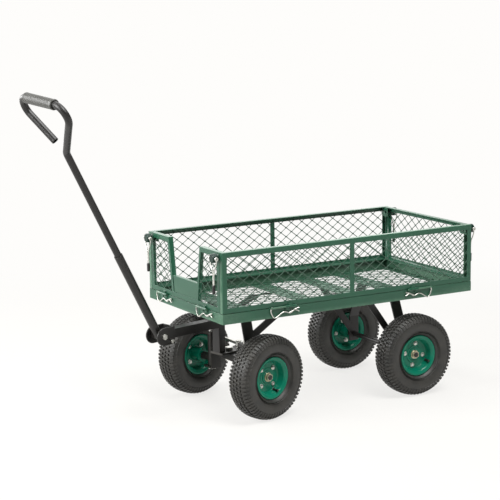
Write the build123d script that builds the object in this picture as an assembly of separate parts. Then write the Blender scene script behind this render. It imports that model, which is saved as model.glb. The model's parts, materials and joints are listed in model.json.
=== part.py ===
from build123d import *
import math
import os

# Garden trolley with a steel mesh tray, four fold-down sides, a steered front axle and a pull handle.
# Millimetres. X runs to the rear, Y to the right-hand side, Z up.
# The origin is the middle of the load floor's top face.

# Tray
TRAY_LENGTH = 910.0
TRAY_WIDTH = 476.0
BED_HEIGHT = 324.0
SHEET = 2.5
APRON_HEIGHT = 31.0
APRON_FLANGE = 25.0
FLOOR_MESH = 2.5
FLOOR_PITCH = (68.0, 42.0)
FLOOR_STRAND = 3.0
SLAT_WIDTH = 62.0
FRONT_SLAT_X = -65.0
REAR_SLAT_X = 107.0

# Side, front and rear panels
PANEL_HEIGHT = 183.0
PANEL_ANGLE = 16.0
PANEL_GAP = 0.8
CORNER_GAP = 1.5
PANEL_MESH = 2.0
PANEL_PITCH = (47.6, 33.8)
PANEL_STRAND = 2.4
RIGHT_NET_SHIFT = (-5.1, -3.7)
MESH_LAP = 3.5
SMALLEST_HOLE = 6.0
NOTCH_TOP_HALF = 100.0
NOTCH_FLOOR_HALF = 82.0
NOTCH_FLOOR = 67.0
NOTCH_FACE = 10.0
PLATE_SHEET = 2.0
PLATE_LIP = 9.0

# Panel hinges and their spring clips
HINGE_OFFSET = 5.0
KNUCKLE_RADIUS = 4.5
KNUCKLE_LENGTH = 12.0
KNUCKLE_GAP = 0.4
KNUCKLE_LEAF = 10.0
HINGE_PIN_RADIUS = 3.0
SIDE_HINGE_X = 225.0
SIDE_PIN_REACH = 70.0
END_HINGE_Y = 130.0
END_PIN_REACH = 48.0
PIN_TAIL = 20.0
CLIP_INSET = 3.0
CLIP_WIRE = 1.6
CLIP_BEND = 3.0
CLIP_POINTS = ((0.9, 3.4), (-8.0, -30.0), (-40.0, -17.0), (-67.0, -20.5), (-95.0, -13.0))

# Corner latches
LATCH_DROP = 17.0
LATCH_TRAVEL = 5.0
LATCH_PIN_RADIUS = 4.0
LATCH_BARREL_RADIUS = 8.0
LATCH_BARREL = 2.0
LATCH_KNOB_RADIUS = 14.0
LATCH_KNOB = 15.0
LATCH_KNOB_ROUND = 3.0
LATCH_STOP_GAP = 0.5
LUG_SHEET = 3.0
LUG_GAP = 0.5
LUG_HOLE_RADIUS = 5.0
LUG_BORDER = 9.5
PULL_WIRE = 1.6
PULL_LENGTH = 80.0
PULL_SIDE_GAP = 5.0
PULL_BEND = 3.0
PULL_SLEEVE_RADIUS = 5.0
PULL_SLEEVE = 27.0

# Wheels
TYRE_RADIUS = 130.0
TYRE_WIDTH = 82.0
TYRE_WALL = 8.0
TYRE_SHOULDER_SHARE = 0.82
TYRE_TREAD_SHARE = 0.5
RIM_LIP_RADIUS = 65.5
RIM_SEAT_RADIUS = 55.0
RIM_WELL_RADIUS = 48.0
RIM_HALF_WIDTH = 28.6
RIM_SHEET = 3.0
RIM_WELL_SHARE = 0.4
RIM_DROP_SHARE = 0.72
RIM_DISC_RADIUS = 43.0
RIM_DISC = 5.0
HUB_RADIUS = 21.0
HUB_WALL = 3.5
HUB_OUTBOARD = 6.0
HUB_INBOARD = 42.0
BEARING_WIDTH = 11.0
RIM_BOLT_CIRCLE = 35.0
RIM_BOLT_RADIUS = 4.0
RIM_BOLT_HEAD = 6.5
RIM_BOLT_COUNT = 4
FRONT_BOLT_ANGLE = 45.0
REAR_BOLT_ANGLE = 10.0

# Axles and steering
FRONT_AXLE_INSET = 152.0
REAR_AXLE_INSET = 199.0
AXLE_RADIUS = 8.0
AXLE_SHOULDER_RADIUS = 12.0
REAR_HALF_TRACK = 201.0
KINGPIN_Y = 112.0
KINGPIN_RADIUS = 8.0
WHEEL_OFFSET = 84.0
STEER_REST = 13.5
SLEEVE_RADIUS = 13.0
YOKE_WIDTH = 36.0
YOKE_STRAP = 6.0
YOKE_REACH = 20.0
YOKE_WEB_Y = 87.0
YOKE_BOTTOM = 99.0
YOKE_TOP = 213.0
BEAM_WIDTH = 30.0
BEAM_BOTTOM = 150.0
BEAM_TOP = 171.5
STEER_PLATE = 6.0
STEER_PLATE_GAP = 0.5
STEER_ARM = 55.0
STEER_ARM_OUT = 15.0
TIE_ROD_RADIUS = 5.0
TIE_EYE_RADIUS = 9.5
TIE_PIN_RADIUS = 4.0
TIE_EYE = 12.0
OPEN_PIVOT_CLEARANCE = 0.35

# Supports and braces under the tray
STRAP_WIDTH = 36.0
STRAP = 6.0
STRAP_BEND = 10.0
STRAP_FOOT_BEND = 4.0
FRONT_LEG_TOP_Y = 100.0
FRONT_FOOT_Y = 132.0
REAR_LEG_TOP_Y = 85.0
REAR_TAB_Y = 140.0
REAR_TAB_TOP = 192.0
REAR_TAB_BELOW = 22.0
BRACE_WIDTH = 22.0
BRACE = 5.0
BRACE_LOW = 241.0
BRACE_BACK = 13.0
FRONT_BRACE_RUN = 137.0
CHASSIS_BOLT_RADIUS = 4.0
CHASSIS_BOLT_HEAD = 6.5
CHASSIS_BOLT_Y = 55.0

# Drawbar
DRAWBAR_REACH = 286.0
DRAWBAR_WIDTH = 55.0
DRAWBAR_WALL = 4.5
DRAWBAR_REAR = 30.0
DRAWBAR_LEG = 24.0
BAR_WIDTH = 32.0
BAR_HEIGHT = 28.0
BAR_RISE = 15.0
BAR_CORNER = 12.0
PIVOT_HEIGHT = 271.0
PIVOT_CHEEK = 27.0
CLEVIS_DEPTH = 42.0
PIVOT_BOLT_RADIUS = 5.0
PIVOT_BOLT_HEAD = 9.0
STOP_BOLT_RADIUS = 4.0
STOP_BOLT_BACK = 30.0
STOP_BOLT_DROP = 17.0

# Pull handle
HANDLE_REST = 61.0
LOWER_TUBE_RADIUS = 13.0
UPPER_TUBE_RADIUS = 10.5
TUBE_WALL = 2.0
TUBE_SLIP = 0.3
STEP_AT = 301.0
TUBE_OVERLAP = 60.0
HANDLE_BUSH_RADIUS = 11.5
BUSH_SIDE_GAP = 0.5
LOOP_START = 661.0
LOOP_TOP = 833.0
LOOP_HALF_ANGLE = 42.75
LOOP_CORNER = 35.0
LOOP_KINK = 25.0
LOOP_END_GAP = 47.0
LOOP_ROLL = -7.5
GRIP_RADIUS = 15.75
GRIP_HALF = 78.0
HANDLE_BOLT_RADIUS = 3.0
HANDLE_BOLT_HEAD = 5.0

# Fits and small parts
RUNNING_FIT = 0.05
WELD_GAP = 0.05
SIDE_CLEARANCE = 0.4
WASHER = 2.0
NUT = 8.0
BOLT_HEAD = 5.0

# Places worked out from the sizes above
GROUND = -BED_HEIGHT
AXLE_Z = GROUND + TYRE_RADIUS
FRONT_AXLE_X = FRONT_AXLE_INSET - TRAY_LENGTH / 2
REAR_AXLE_X = TRAY_LENGTH / 2 - REAR_AXLE_INSET
SLAT_TOP = -FLOOR_MESH
TRAY_BOTTOM = SLAT_TOP - SHEET
APRON_TOP = TRAY_BOTTOM + APRON_HEIGHT
PANEL_BOTTOM = APRON_TOP + PANEL_GAP
FLANGE_HALF_WIDTH = TRAY_WIDTH / 2 - APRON_FLANGE
FLANGE_HALF_LENGTH = TRAY_LENGTH / 2 - APRON_FLANGE
END_PANEL_HALF = TRAY_WIDTH / 2 - PANEL_ANGLE - CORNER_GAP
LATCH_U = END_PANEL_HALF - PANEL_ANGLE / 2
LATCH_V = PANEL_HEIGHT - LATCH_DROP
STEER_PLATE_BOTTOM = GROUND + BEAM_TOP + STEER_PLATE_GAP
STEER_PLATE_TOP = STEER_PLATE_BOTTOM + STEER_PLATE
TIE_EYE_BOTTOM = STEER_PLATE_TOP + SIDE_CLEARANCE
TIE_ROD_Z = TIE_EYE_BOTTOM + TIE_EYE / 2
PIVOT_Z = GROUND + PIVOT_HEIGHT
PANEL_SIDES = {
    "left": Plane((0, -TRAY_WIDTH / 2, PANEL_BOTTOM), x_dir=(1, 0, 0), z_dir=(0, -1, 0)),
    "right": Plane((0, TRAY_WIDTH / 2, PANEL_BOTTOM), x_dir=(-1, 0, 0), z_dir=(0, 1, 0)),
    "front": Plane((-TRAY_LENGTH / 2, 0, PANEL_BOTTOM), x_dir=(0, -1, 0), z_dir=(-1, 0, 0)),
    "rear": Plane((TRAY_LENGTH / 2, 0, PANEL_BOTTOM), x_dir=(0, 1, 0), z_dir=(1, 0, 0)),
}


def save(name, *pieces):
    """Write one node, a solid or a group of solids."""
    solids = [solid for piece in pieces for solid in piece.solids()]
    export_step(Compound(solids), f"parts/{name}.step")


def block(x, y, z):
    """Box between two coordinates on each axis."""
    centre = [(low + high) / 2 for low, high in (x, y, z)]
    return Pos(*centre) * Box(*[abs(high - low) for low, high in (x, y, z)])


def rod(radius, start, end):
    """Round bar from one point to another."""
    run = Vector(end) - Vector(start)
    bar = Cylinder(radius, run.length, align=(Align.CENTER, Align.CENTER, Align.MIN))
    return Plane(start, z_dir=run).location * bar


def hexagon(radius, start, end):
    """Hexagonal bar from one point to another; the radius is to its corners."""
    run = Vector(end) - Vector(start)
    return Plane(start, z_dir=run).location * extrude(RegularPolygon(radius, 6), run.length)


def bent_rod(points, bend, radius):
    """Round bar along straight runs joined by tangent arcs."""
    path = FilletPolyline(*points, radius=bend)
    return sweep(Plane(path @ 0, z_dir=path % 0) * Circle(radius), path=path)


def bent_strap(points, bend, thickness, width, x):
    """Flat bar bent in the YZ plane, its width centred on x."""
    outline = trace(FilletPolyline(*points, radius=bend), thickness)
    plane = Plane((x - width / 2, 0, 0), x_dir=(0, 1, 0), z_dir=(1, 0, 0))
    return plane.location * extrude(outline, width)


def bolt(radius, head, start, end, head_length=BOLT_HEAD, nut_length=NUT):
    """Hexagon bolt whose clamped length runs from start to end, with its nut past the end."""
    along = (Vector(end) - Vector(start)).normalized()
    tail = Vector(end) + along * nut_length
    shank = rod(radius, start, tail)
    return shank + hexagon(head, Vector(start) - along * head_length, start) + hexagon(head, end, tail)


def turn(polygon):
    """Signed area of a polygon, positive when its points run anticlockwise."""
    pairs = zip(polygon, polygon[1:] + polygon[:1])
    return sum(a[0] * b[1] - b[0] * a[1] for a, b in pairs) / 2


def grow(polygon, distance):
    """Convex anticlockwise polygon with every edge moved outward."""
    lines = []
    for a, b in zip(polygon, polygon[1:] + polygon[:1]):
        length = math.hypot(b[0] - a[0], b[1] - a[1])
        normal = ((b[1] - a[1]) / length, (a[0] - b[0]) / length)
        lines.append((normal, normal[0] * a[0] + normal[1] * a[1] + distance))
    corners = []
    for (n, c), (m, d) in zip(lines[-1:] + lines[:-1], lines):
        cross = n[0] * m[1] - n[1] * m[0]
        corners.append(((c * m[1] - d * n[1]) / cross, (n[0] * d - m[0] * c) / cross))
    return corners


def clip(polygon, window):
    """Part of a polygon that lies inside a convex anticlockwise window."""
    for a, b in zip(window, window[1:] + window[:1]):
        kept = []
        for p, q in zip(polygon, polygon[1:] + polygon[:1]):
            inside_p = (b[0] - a[0]) * (p[1] - a[1]) - (b[1] - a[1]) * (p[0] - a[0])
            inside_q = (b[0] - a[0]) * (q[1] - a[1]) - (b[1] - a[1]) * (q[0] - a[0])
            if inside_p >= 0:
                kept.append(p)
            if inside_p * inside_q < 0:
                share = inside_p / (inside_p - inside_q)
                kept.append((p[0] + share * (q[0] - p[0]), p[1] + share * (q[1] - p[1])))
        polygon = kept
        if len(polygon) < 3:
            return []
    return polygon


def rectangle(half_width, bottom, top):
    """Anticlockwise rectangle centred on the vertical axis."""
    return [(-half_width, bottom), (half_width, bottom), (half_width, top), (-half_width, top)]


def sheet(polygon, low, high):
    """Flat plate with a polygon outline between two levels."""
    return Pos(0, 0, low) * extrude(make_face(Polyline(*polygon, close=True)), high - low)


def diamond_net(border, windows, pitch, strand, centre, low, high):
    """Expanded mesh: one sheet with diamond holes, cut off at each window's edge.
    Strands cross at the given centre."""
    half_u = pitch[0] / 2
    half_v = pitch[1] / 2
    share = 1 - strand / 2 * math.hypot(half_u, half_v) / (half_u * half_v)
    holes = []
    for window in windows:
        columns = math.ceil(max(abs(u - centre[0]) for u, v in window) / half_u)
        rows = math.ceil(max(abs(v - centre[1]) for u, v in window) / half_v)
        for column in range(-columns, columns + 1):
            for row in range(-rows, rows + 1):
                if (column + row) % 2 == 0:
                    continue
                u = centre[0] + column * half_u
                v = centre[1] + row * half_v
                diamond = [(u + half_u * share, v), (u, v + half_v * share)]
                diamond += [(u - half_u * share, v), (u, v - half_v * share)]
                hole = clip(diamond, window)
                if hole and turn(hole) > SMALLEST_HOLE:
                    holes.append(Wire.make_polygon([(*point, 0) for point in hole], close=True))
    face = Face(Wire.make_polygon([(*point, 0) for point in border], close=True), holes)
    return Pos(0, 0, low) * extrude(face, high - low)


def angle_frame(outline, opening):
    """Frame of steel angle between a convex outline and its opening: flanges point into the tray."""
    solid = sheet(outline, -PANEL_ANGLE, 0)
    solid -= sheet(grow(outline, -SHEET), -PANEL_ANGLE, -SHEET)
    return solid - sheet(opening, -SHEET, 0)


def knuckle(u, outward_leaf):
    """Hinge barrel with its leaf; the leaf points up on a panel and down on the tray."""
    run = (u - KNUCKLE_LENGTH / 2, u + KNUCKLE_LENGTH / 2)
    axis_v = -PANEL_GAP / 2
    barrel = rod(KNUCKLE_RADIUS, (run[0], axis_v, HINGE_OFFSET), (run[1], axis_v, HINGE_OFFSET))
    leaf = block(run, sorted((axis_v, axis_v + outward_leaf)), (0, HINGE_OFFSET))
    ends = [(end, axis_v, HINGE_OFFSET) for end in run]
    return barrel + leaf - rod(HINGE_PIN_RADIUS + RUNNING_FIT, *ends)


def hinge(centre, direction, reach):
    """One hinge in panel coordinates: tray knuckles, panel knuckle, pin and spring clip."""
    step = (KNUCKLE_LENGTH + KNUCKLE_GAP) * direction
    axis_v = -PANEL_GAP / 2
    tray_side = knuckle(centre - step, -KNUCKLE_LEAF) + knuckle(centre + step, -KNUCKLE_LEAF)
    panel_side = knuckle(centre, KNUCKLE_LEAF)
    tail = (centre - PIN_TAIL * direction, axis_v, HINGE_OFFSET)
    nose = (centre + reach * direction, axis_v, HINGE_OFFSET)
    hook = centre + (reach - CLIP_INSET) * direction
    points = [(hook + u * direction, axis_v + v, HINGE_OFFSET) for u, v in CLIP_POINTS]
    pin = rod(HINGE_PIN_RADIUS, tail, nose) - rod(CLIP_WIRE + RUNNING_FIT, points[0], points[1])
    return tray_side, panel_side, pin, bent_rod(points, CLIP_BEND, CLIP_WIRE)


def latch_parts(side):
    """One corner latch in panel coordinates: barrel, bore, pin and pull."""
    u = side * LATCH_U
    barrel = rod(LATCH_BARREL_RADIUS, (u, LATCH_V, 0), (u, LATCH_V, LATCH_BARREL))
    bore = rod(LATCH_PIN_RADIUS + RUNNING_FIT, (u, LATCH_V, -PANEL_ANGLE), (u, LATCH_V, LATCH_BARREL))
    knob_at = LATCH_BARREL + LATCH_STOP_GAP + LATCH_TRAVEL
    tip = knob_at + LATCH_KNOB
    eye_at = (knob_at + tip) / 2
    knob = rod(LATCH_KNOB_RADIUS, (u, LATCH_V, knob_at), (u, LATCH_V, tip))
    knob = fillet(knob.edges().filter_by(GeomType.CIRCLE), LATCH_KNOB_ROUND)
    pin = knob + rod(LATCH_PIN_RADIUS, (u, LATCH_V, LUG_GAP - PANEL_ANGLE), (u, LATCH_V, knob_at))
    half = LATCH_KNOB_RADIUS + PULL_SIDE_GAP
    pin -= rod(PULL_WIRE + RUNNING_FIT, (u - half, LATCH_V, eye_at), (u + half, LATCH_V, eye_at))
    low = LATCH_V - PULL_LENGTH
    near = PULL_WIRE + PULL_WIRE / 2
    loop = [(u - near, low - PULL_SLEEVE / 2), (u - near, low), (u - half, LATCH_V)]
    loop += [(u + half, LATCH_V), (u + near, low), (u + near, low - PULL_SLEEVE / 2)]
    pull = bent_rod([(*point, eye_at) for point in loop], PULL_BEND, PULL_WIRE)
    pull += rod(PULL_SLEEVE_RADIUS, (u, low - PULL_SLEEVE, eye_at), (u, low, eye_at))
    return barrel, bore, pin, pull


def latch_lug(end):
    """Plate under a side panel's top rail with the latch pin's hole; end is -1 or 1 along the panel."""
    near = TRAY_LENGTH / 2 - PANEL_ANGLE - LUG_GAP
    u = (end * (near - LUG_SHEET), end * near)
    hole_w = LATCH_U - TRAY_WIDTH / 2
    w = (hole_w - LUG_BORDER, -SHEET - PANEL_MESH - LUG_GAP)
    plate = block(sorted(u), (LATCH_V - LUG_BORDER - LUG_HOLE_RADIUS, PANEL_HEIGHT - SHEET - WELD_GAP), w)
    return plate - rod(LUG_HOLE_RADIUS, (u[0], LATCH_V, hole_w), (u[1], LATCH_V, hole_w))


def make_tray():
    """Apron walls by side, the ledges welded inside them, floor mesh and cross slats."""
    half_length = TRAY_LENGTH / 2
    half_width = TRAY_WIDTH / 2
    wall_x = half_length - SHEET
    wall_y = half_width - SHEET
    inner_x = wall_x - WELD_GAP
    inner_y = wall_y - WELD_GAP
    flange_y = (-FLANGE_HALF_WIDTH, FLANGE_HALF_WIDTH)
    height = (TRAY_BOTTOM, APRON_TOP)
    level = (TRAY_BOTTOM, SLAT_TOP)
    walls = {}
    ledges = []
    for hand, side in (("left", -1), ("right", 1)):
        across = sorted((side * wall_y, side * half_width))
        walls[hand] = block((-half_length, half_length), across, height)
        across = sorted((side * FLANGE_HALF_WIDTH, side * inner_y))
        ledges.append(block((-inner_x, inner_x), across, level))
    for end, side in (("front", -1), ("rear", 1)):
        along = sorted((side * wall_x, side * half_length))
        walls[end] = block(along, (-inner_y, inner_y), height)
        along = sorted((side * FLANGE_HALF_LENGTH, side * inner_x))
        across = FLANGE_HALF_WIDTH - WELD_GAP
        ledges.append(block(along, (-across, across), level))
    border = rectangle(wall_x - SIDE_CLEARANCE, -wall_y + SIDE_CLEARANCE, wall_y - SIDE_CLEARANCE)
    window = rectangle(FLANGE_HALF_LENGTH, -FLANGE_HALF_WIDTH, FLANGE_HALF_WIDTH)
    floor = diamond_net(border, [window], FLOOR_PITCH, FLOOR_STRAND, (0, 0), -FLOOR_MESH, 0)
    slats = []
    for x in (FRONT_AXLE_X, FRONT_SLAT_X, REAR_SLAT_X, REAR_AXLE_X):
        slat = block((x - SLAT_WIDTH / 2, x + SLAT_WIDTH / 2), flange_y, (TRAY_BOTTOM, SLAT_TOP))
        slats.append(slat)
    return walls, ledges, floor, slats


def make_side_panel(net_shift):
    """Long panel in panel coordinates: frame with a middle post, its latch lugs and its mesh."""
    outline = rectangle(TRAY_LENGTH / 2, 0, PANEL_HEIGHT)
    opening = grow(outline, -PANEL_ANGLE)
    frame = angle_frame(outline, opening)
    inner = (SHEET / 2, PANEL_HEIGHT - SHEET / 2)
    frame += block((-PANEL_ANGLE / 2, PANEL_ANGLE / 2), inner, (-SHEET, 0))
    lugs = [latch_lug(end) for end in (-1, 1)]
    centre = (net_shift[0], PANEL_HEIGHT / 2 + net_shift[1])
    levels = (-SHEET - PANEL_MESH, -SHEET)
    net = diamond_net(grow(opening, MESH_LAP), [opening], PANEL_PITCH, PANEL_STRAND, centre, *levels)
    return frame, lugs, net


def make_rear_panel():
    """Rear panel in panel coordinates: one mesh bay."""
    outline = rectangle(END_PANEL_HALF, 0, PANEL_HEIGHT)
    opening = grow(outline, -PANEL_ANGLE)
    centre = (0, PANEL_HEIGHT / 2)
    levels = (-SHEET - PANEL_MESH, -SHEET)
    net = diamond_net(grow(opening, MESH_LAP), [opening], PANEL_PITCH, PANEL_STRAND, centre, *levels)
    return angle_frame(outline, opening), net


def make_front_panel():
    """Front panel in panel coordinates: two mesh bays, a notch for the handle and a plate under it."""
    slope = (NOTCH_TOP_HALF - NOTCH_FLOOR_HALF) / (PANEL_HEIGHT - NOTCH_FLOOR)
    foot = NOTCH_TOP_HALF - slope * PANEL_HEIGHT
    narrow = (PANEL_ANGLE - NOTCH_FACE) * math.hypot(1, slope)
    outer_post = [(END_PANEL_HALF, 0), (END_PANEL_HALF, PANEL_HEIGHT)]
    right_bay = [(foot, 0), *outer_post, (NOTCH_TOP_HALF, PANEL_HEIGHT)]
    right_opening = [(foot - narrow, 0), *outer_post, (NOTCH_TOP_HALF - narrow, PANEL_HEIGHT)]
    right_opening = grow(right_opening, -PANEL_ANGLE)
    left_bay = [(-u, v) for u, v in reversed(right_bay)]
    left_opening = [(-u, v) for u, v in reversed(right_opening)]
    rail = (-foot - SHEET, foot + SHEET)
    frame = angle_frame(right_bay, right_opening) + angle_frame(left_bay, left_opening)
    frame += block(rail, (0, PANEL_ANGLE), (-SHEET, 0)) + block(rail, (0, SHEET), (-PANEL_ANGLE, 0))
    levels = (-SHEET - PANEL_MESH, -SHEET)
    nets = []
    centre = (0, PANEL_HEIGHT / 2)
    for opening in (left_opening, right_opening):
        border = grow(opening, MESH_LAP)
        nets.append(diamond_net(border, [opening], PANEL_PITCH, PANEL_STRAND, centre, *levels))
    low = PANEL_ANGLE / 2
    reach = SHEET + SIDE_CLEARANCE
    low_half = foot + slope * low - reach
    top_half = NOTCH_FLOOR_HALF - reach
    plate = sheet([(-low_half, low), (low_half, low), (top_half, NOTCH_FLOOR), (-top_half, NOTCH_FLOOR)],
                  -SHEET - PLATE_SHEET, -SHEET)
    lip = (-SHEET - PLATE_SHEET - PLATE_LIP, -SHEET)
    plate += block((-top_half, top_half), (NOTCH_FLOOR - PLATE_SHEET, NOTCH_FLOOR), lip)
    return frame, nets, plate


def make_panels(walls):
    """All four panels with their hinges and latches; returns the tray's walls with their knuckles on."""
    frames = {}
    lugs = {"front": [], "rear": []}
    walls = dict(walls)
    pins = []
    clips = []
    for side, net_shift in (("left", (0, 0)), ("right", RIGHT_NET_SHIFT)):
        frames[side], lugs[side], net = make_side_panel(net_shift)
        save(f"{side}_panel_mesh", PANEL_SIDES[side].location * net)
    frames["rear"], net = make_rear_panel()
    save("rear_panel_mesh", PANEL_SIDES["rear"].location * net)
    frames["front"], nets, plate = make_front_panel()
    save("front_panel_mesh", *[PANEL_SIDES["front"].location * net for net in nets])
    save("front_panel_plate", PANEL_SIDES["front"].location * plate)
    long_hinges = [(-SIDE_HINGE_X, -1, SIDE_PIN_REACH), (SIDE_HINGE_X, 1, SIDE_PIN_REACH)]
    end_hinges = [(-END_HINGE_Y, -1, END_PIN_REACH), (END_HINGE_Y, -1, END_PIN_REACH)]
    for side, frame in frames.items():
        place = PANEL_SIDES[side].location
        for centre, direction, reach in long_hinges if side in ("left", "right") else end_hinges:
            tray_side, panel_side, pin, clip_wire = hinge(centre, direction, reach)
            walls[side] += place * tray_side
            frame += panel_side
            pins.append(place * pin)
            clips.append(place * clip_wire)
        if side in ("front", "rear"):
            for end in (-1, 1):
                barrel, bore, pin, pull = latch_parts(end)
                frame = frame + barrel - bore
                hand = "left" if (end > 0) == (side == "front") else "right"
                save(f"{side}_{hand}_latch_pin", place * pin)
                save(f"{side}_{hand}_latch_pull", place * pull)
        save(f"{side}_panel_frame", place * frame, *[place * lug for lug in lugs[side]])
    save("hinge_pins", *pins)
    save("hinge_clips", *clips)
    return walls


def tyre_profile(half_width, radius, bead, shrink):
    """Closed half section of a tyre: X is the radius, Y the axial place."""
    flank = half_width - shrink
    crown = radius - shrink
    seat = RIM_HALF_WIDTH - RIM_SHEET - SIDE_CLEARANCE - shrink
    low = RIM_LIP_RADIUS + SIDE_CLEARANCE + shrink / 2
    widest = (low + crown) / 2
    shoulder = crown - (crown - widest) / 3
    edge = flank * TYRE_SHOULDER_SHARE
    tread = flank * TYRE_TREAD_SHARE
    half = Polyline((bead, 0), (bead, seat), (low, seat))
    half += ThreePointArc((low, seat), (widest, flank), (shoulder, edge))
    half += TangentArc((crown, tread), (shoulder, edge), tangent=(0, 1))
    half += Polyline((crown, tread), (crown, 0), (bead, 0))
    half_face = make_face(half)
    return half_face + mirror(half_face, about=Plane.XZ)


def make_wheel():
    """Wheel about the Y axis with its outer side towards -Y: tyre, rim and hub."""
    bead = RIM_SEAT_RADIUS + RUNNING_FIT
    section = tyre_profile(TYRE_WIDTH / 2, TYRE_RADIUS, bead, 0)
    hollow = tyre_profile(TYRE_WIDTH / 2, TYRE_RADIUS, bead, TYRE_WALL)
    tyre = revolve(section - hollow, Axis.Y)
    seat_edge = RIM_HALF_WIDTH - RIM_SHEET
    well = seat_edge * RIM_WELL_SHARE
    drop = seat_edge * RIM_DROP_SHARE
    eye = HUB_RADIUS + RUNNING_FIT
    half = [(RIM_LIP_RADIUS, RIM_HALF_WIDTH), (RIM_LIP_RADIUS, seat_edge), (RIM_SEAT_RADIUS, seat_edge)]
    half += [(RIM_SEAT_RADIUS, drop), (RIM_WELL_RADIUS, well)]
    half += [(radius, -y) for radius, y in reversed(half)]
    disc = RIM_DISC / 2
    dish = [(RIM_SEAT_RADIUS - RIM_SHEET, RIM_HALF_WIDTH), (RIM_DISC_RADIUS, disc), (eye, disc)]
    half += [(radius, -y) for radius, y in dish]
    half += reversed(dish)
    rim = revolve(make_face(Polyline(*half, close=True)), Axis.Y)
    bore = HUB_RADIUS - HUB_WALL
    ends = (-HUB_OUTBOARD, HUB_INBOARD)
    hub = rod(HUB_RADIUS, (0, ends[0], 0), (0, ends[1], 0)) - rod(bore, (0, ends[0], 0), (0, ends[1], 0))
    bearings = []
    for start in (ends[0], ends[1] - BEARING_WIDTH):
        run = ((0, start, 0), (0, start + BEARING_WIDTH, 0))
        bearings.append(rod(bore - RUNNING_FIT, *run) - rod(AXLE_RADIUS + RUNNING_FIT, *run))
    bolts = []
    for index in range(RIM_BOLT_COUNT):
        spot = Rot(0, index * 360 / RIM_BOLT_COUNT, 0) * Pos(RIM_BOLT_CIRCLE, 0, 0)
        hole = rod(RIM_BOLT_RADIUS + RUNNING_FIT, (0, -RIM_DISC, 0), (0, RIM_DISC, 0))
        rim -= spot * hole
        one = bolt(RIM_BOLT_RADIUS, RIM_BOLT_HEAD, (0, -RIM_DISC / 2, 0), (0, RIM_DISC / 2, 0))
        bolts.append(spot * one)
    return tyre, rim, [hub] + bearings, bolts


def save_wheel(name, place, bolt_angle, wheel):
    """Write the four nodes of one wheel."""
    tyre, rim, hub, bolts = wheel
    turned = place * Rot(0, bolt_angle, 0)
    save(f"{name}_tyre", place * tyre)
    save(f"{name}_rim", turned * rim)
    save(f"{name}_hub", *[place * piece for piece in hub])
    save(f"{name}_rim_bolts", *[turned * piece for piece in bolts])


def axle_nut(side, wheel_y):
    """Washer and nut outside a hub; side is -1 on the left and 1 on the right."""
    start = side * (wheel_y + HUB_OUTBOARD + SIDE_CLEARANCE)
    seat = start + side * WASHER
    end = seat + side * NUT
    washer = rod(AXLE_SHOULDER_RADIUS + WASHER, (0, start, 0), (0, seat, 0))
    nut = hexagon(AXLE_SHOULDER_RADIUS, (0, seat, 0), (0, end, 0))
    return washer + nut - rod(AXLE_RADIUS + RUNNING_FIT, (0, start, 0), (0, end, 0))


def axle_end(wheel_y):
    """Distance from the middle to the tip of an axle that carries a wheel at wheel_y."""
    return wheel_y + HUB_OUTBOARD + SIDE_CLEARANCE + WASHER + NUT + WASHER


def make_knuckle(side):
    """Steering knuckle about its kingpin: sleeve, stub axle, steering arm and tie-rod pin."""
    low = GROUND + YOKE_BOTTOM + YOKE_STRAP + SIDE_CLEARANCE
    high = GROUND + YOKE_TOP - YOKE_STRAP - SIDE_CLEARANCE
    sleeve = rod(SLEEVE_RADIUS, (0, 0, low), (0, 0, high))
    shoulder = side * (WHEEL_OFFSET - HUB_INBOARD - SIDE_CLEARANCE)
    stub = rod(AXLE_SHOULDER_RADIUS, (0, 0, AXLE_Z), (0, shoulder, AXLE_Z))
    stub += rod(AXLE_RADIUS, (0, shoulder, AXLE_Z), (0, side * axle_end(WHEEL_OFFSET), AXLE_Z))
    tip = (STEER_ARM, side * STEER_ARM_OUT)
    arm = steering_arm(tip)
    pin = rod(TIE_PIN_RADIUS, (*tip, STEER_PLATE_BOTTOM), (*tip, TIE_EYE_BOTTOM + TIE_EYE))
    body = sleeve + stub + arm + pin
    return body - rod(KINGPIN_RADIUS + RUNNING_FIT, (0, 0, low), (0, 0, high))


def steering_arm(tip):
    """Flat arm from the kingpin to the tie-rod pin."""
    length = math.hypot(*tip)
    angle = math.degrees(math.atan2(tip[1], tip[0]))
    half = TIE_EYE_RADIUS
    bar = Rot(0, 0, angle) * block((0, length), (-half, half), (STEER_PLATE_BOTTOM, STEER_PLATE_TOP))
    return bar + rod(half, (*tip, STEER_PLATE_BOTTOM), (*tip, STEER_PLATE_TOP))


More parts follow.
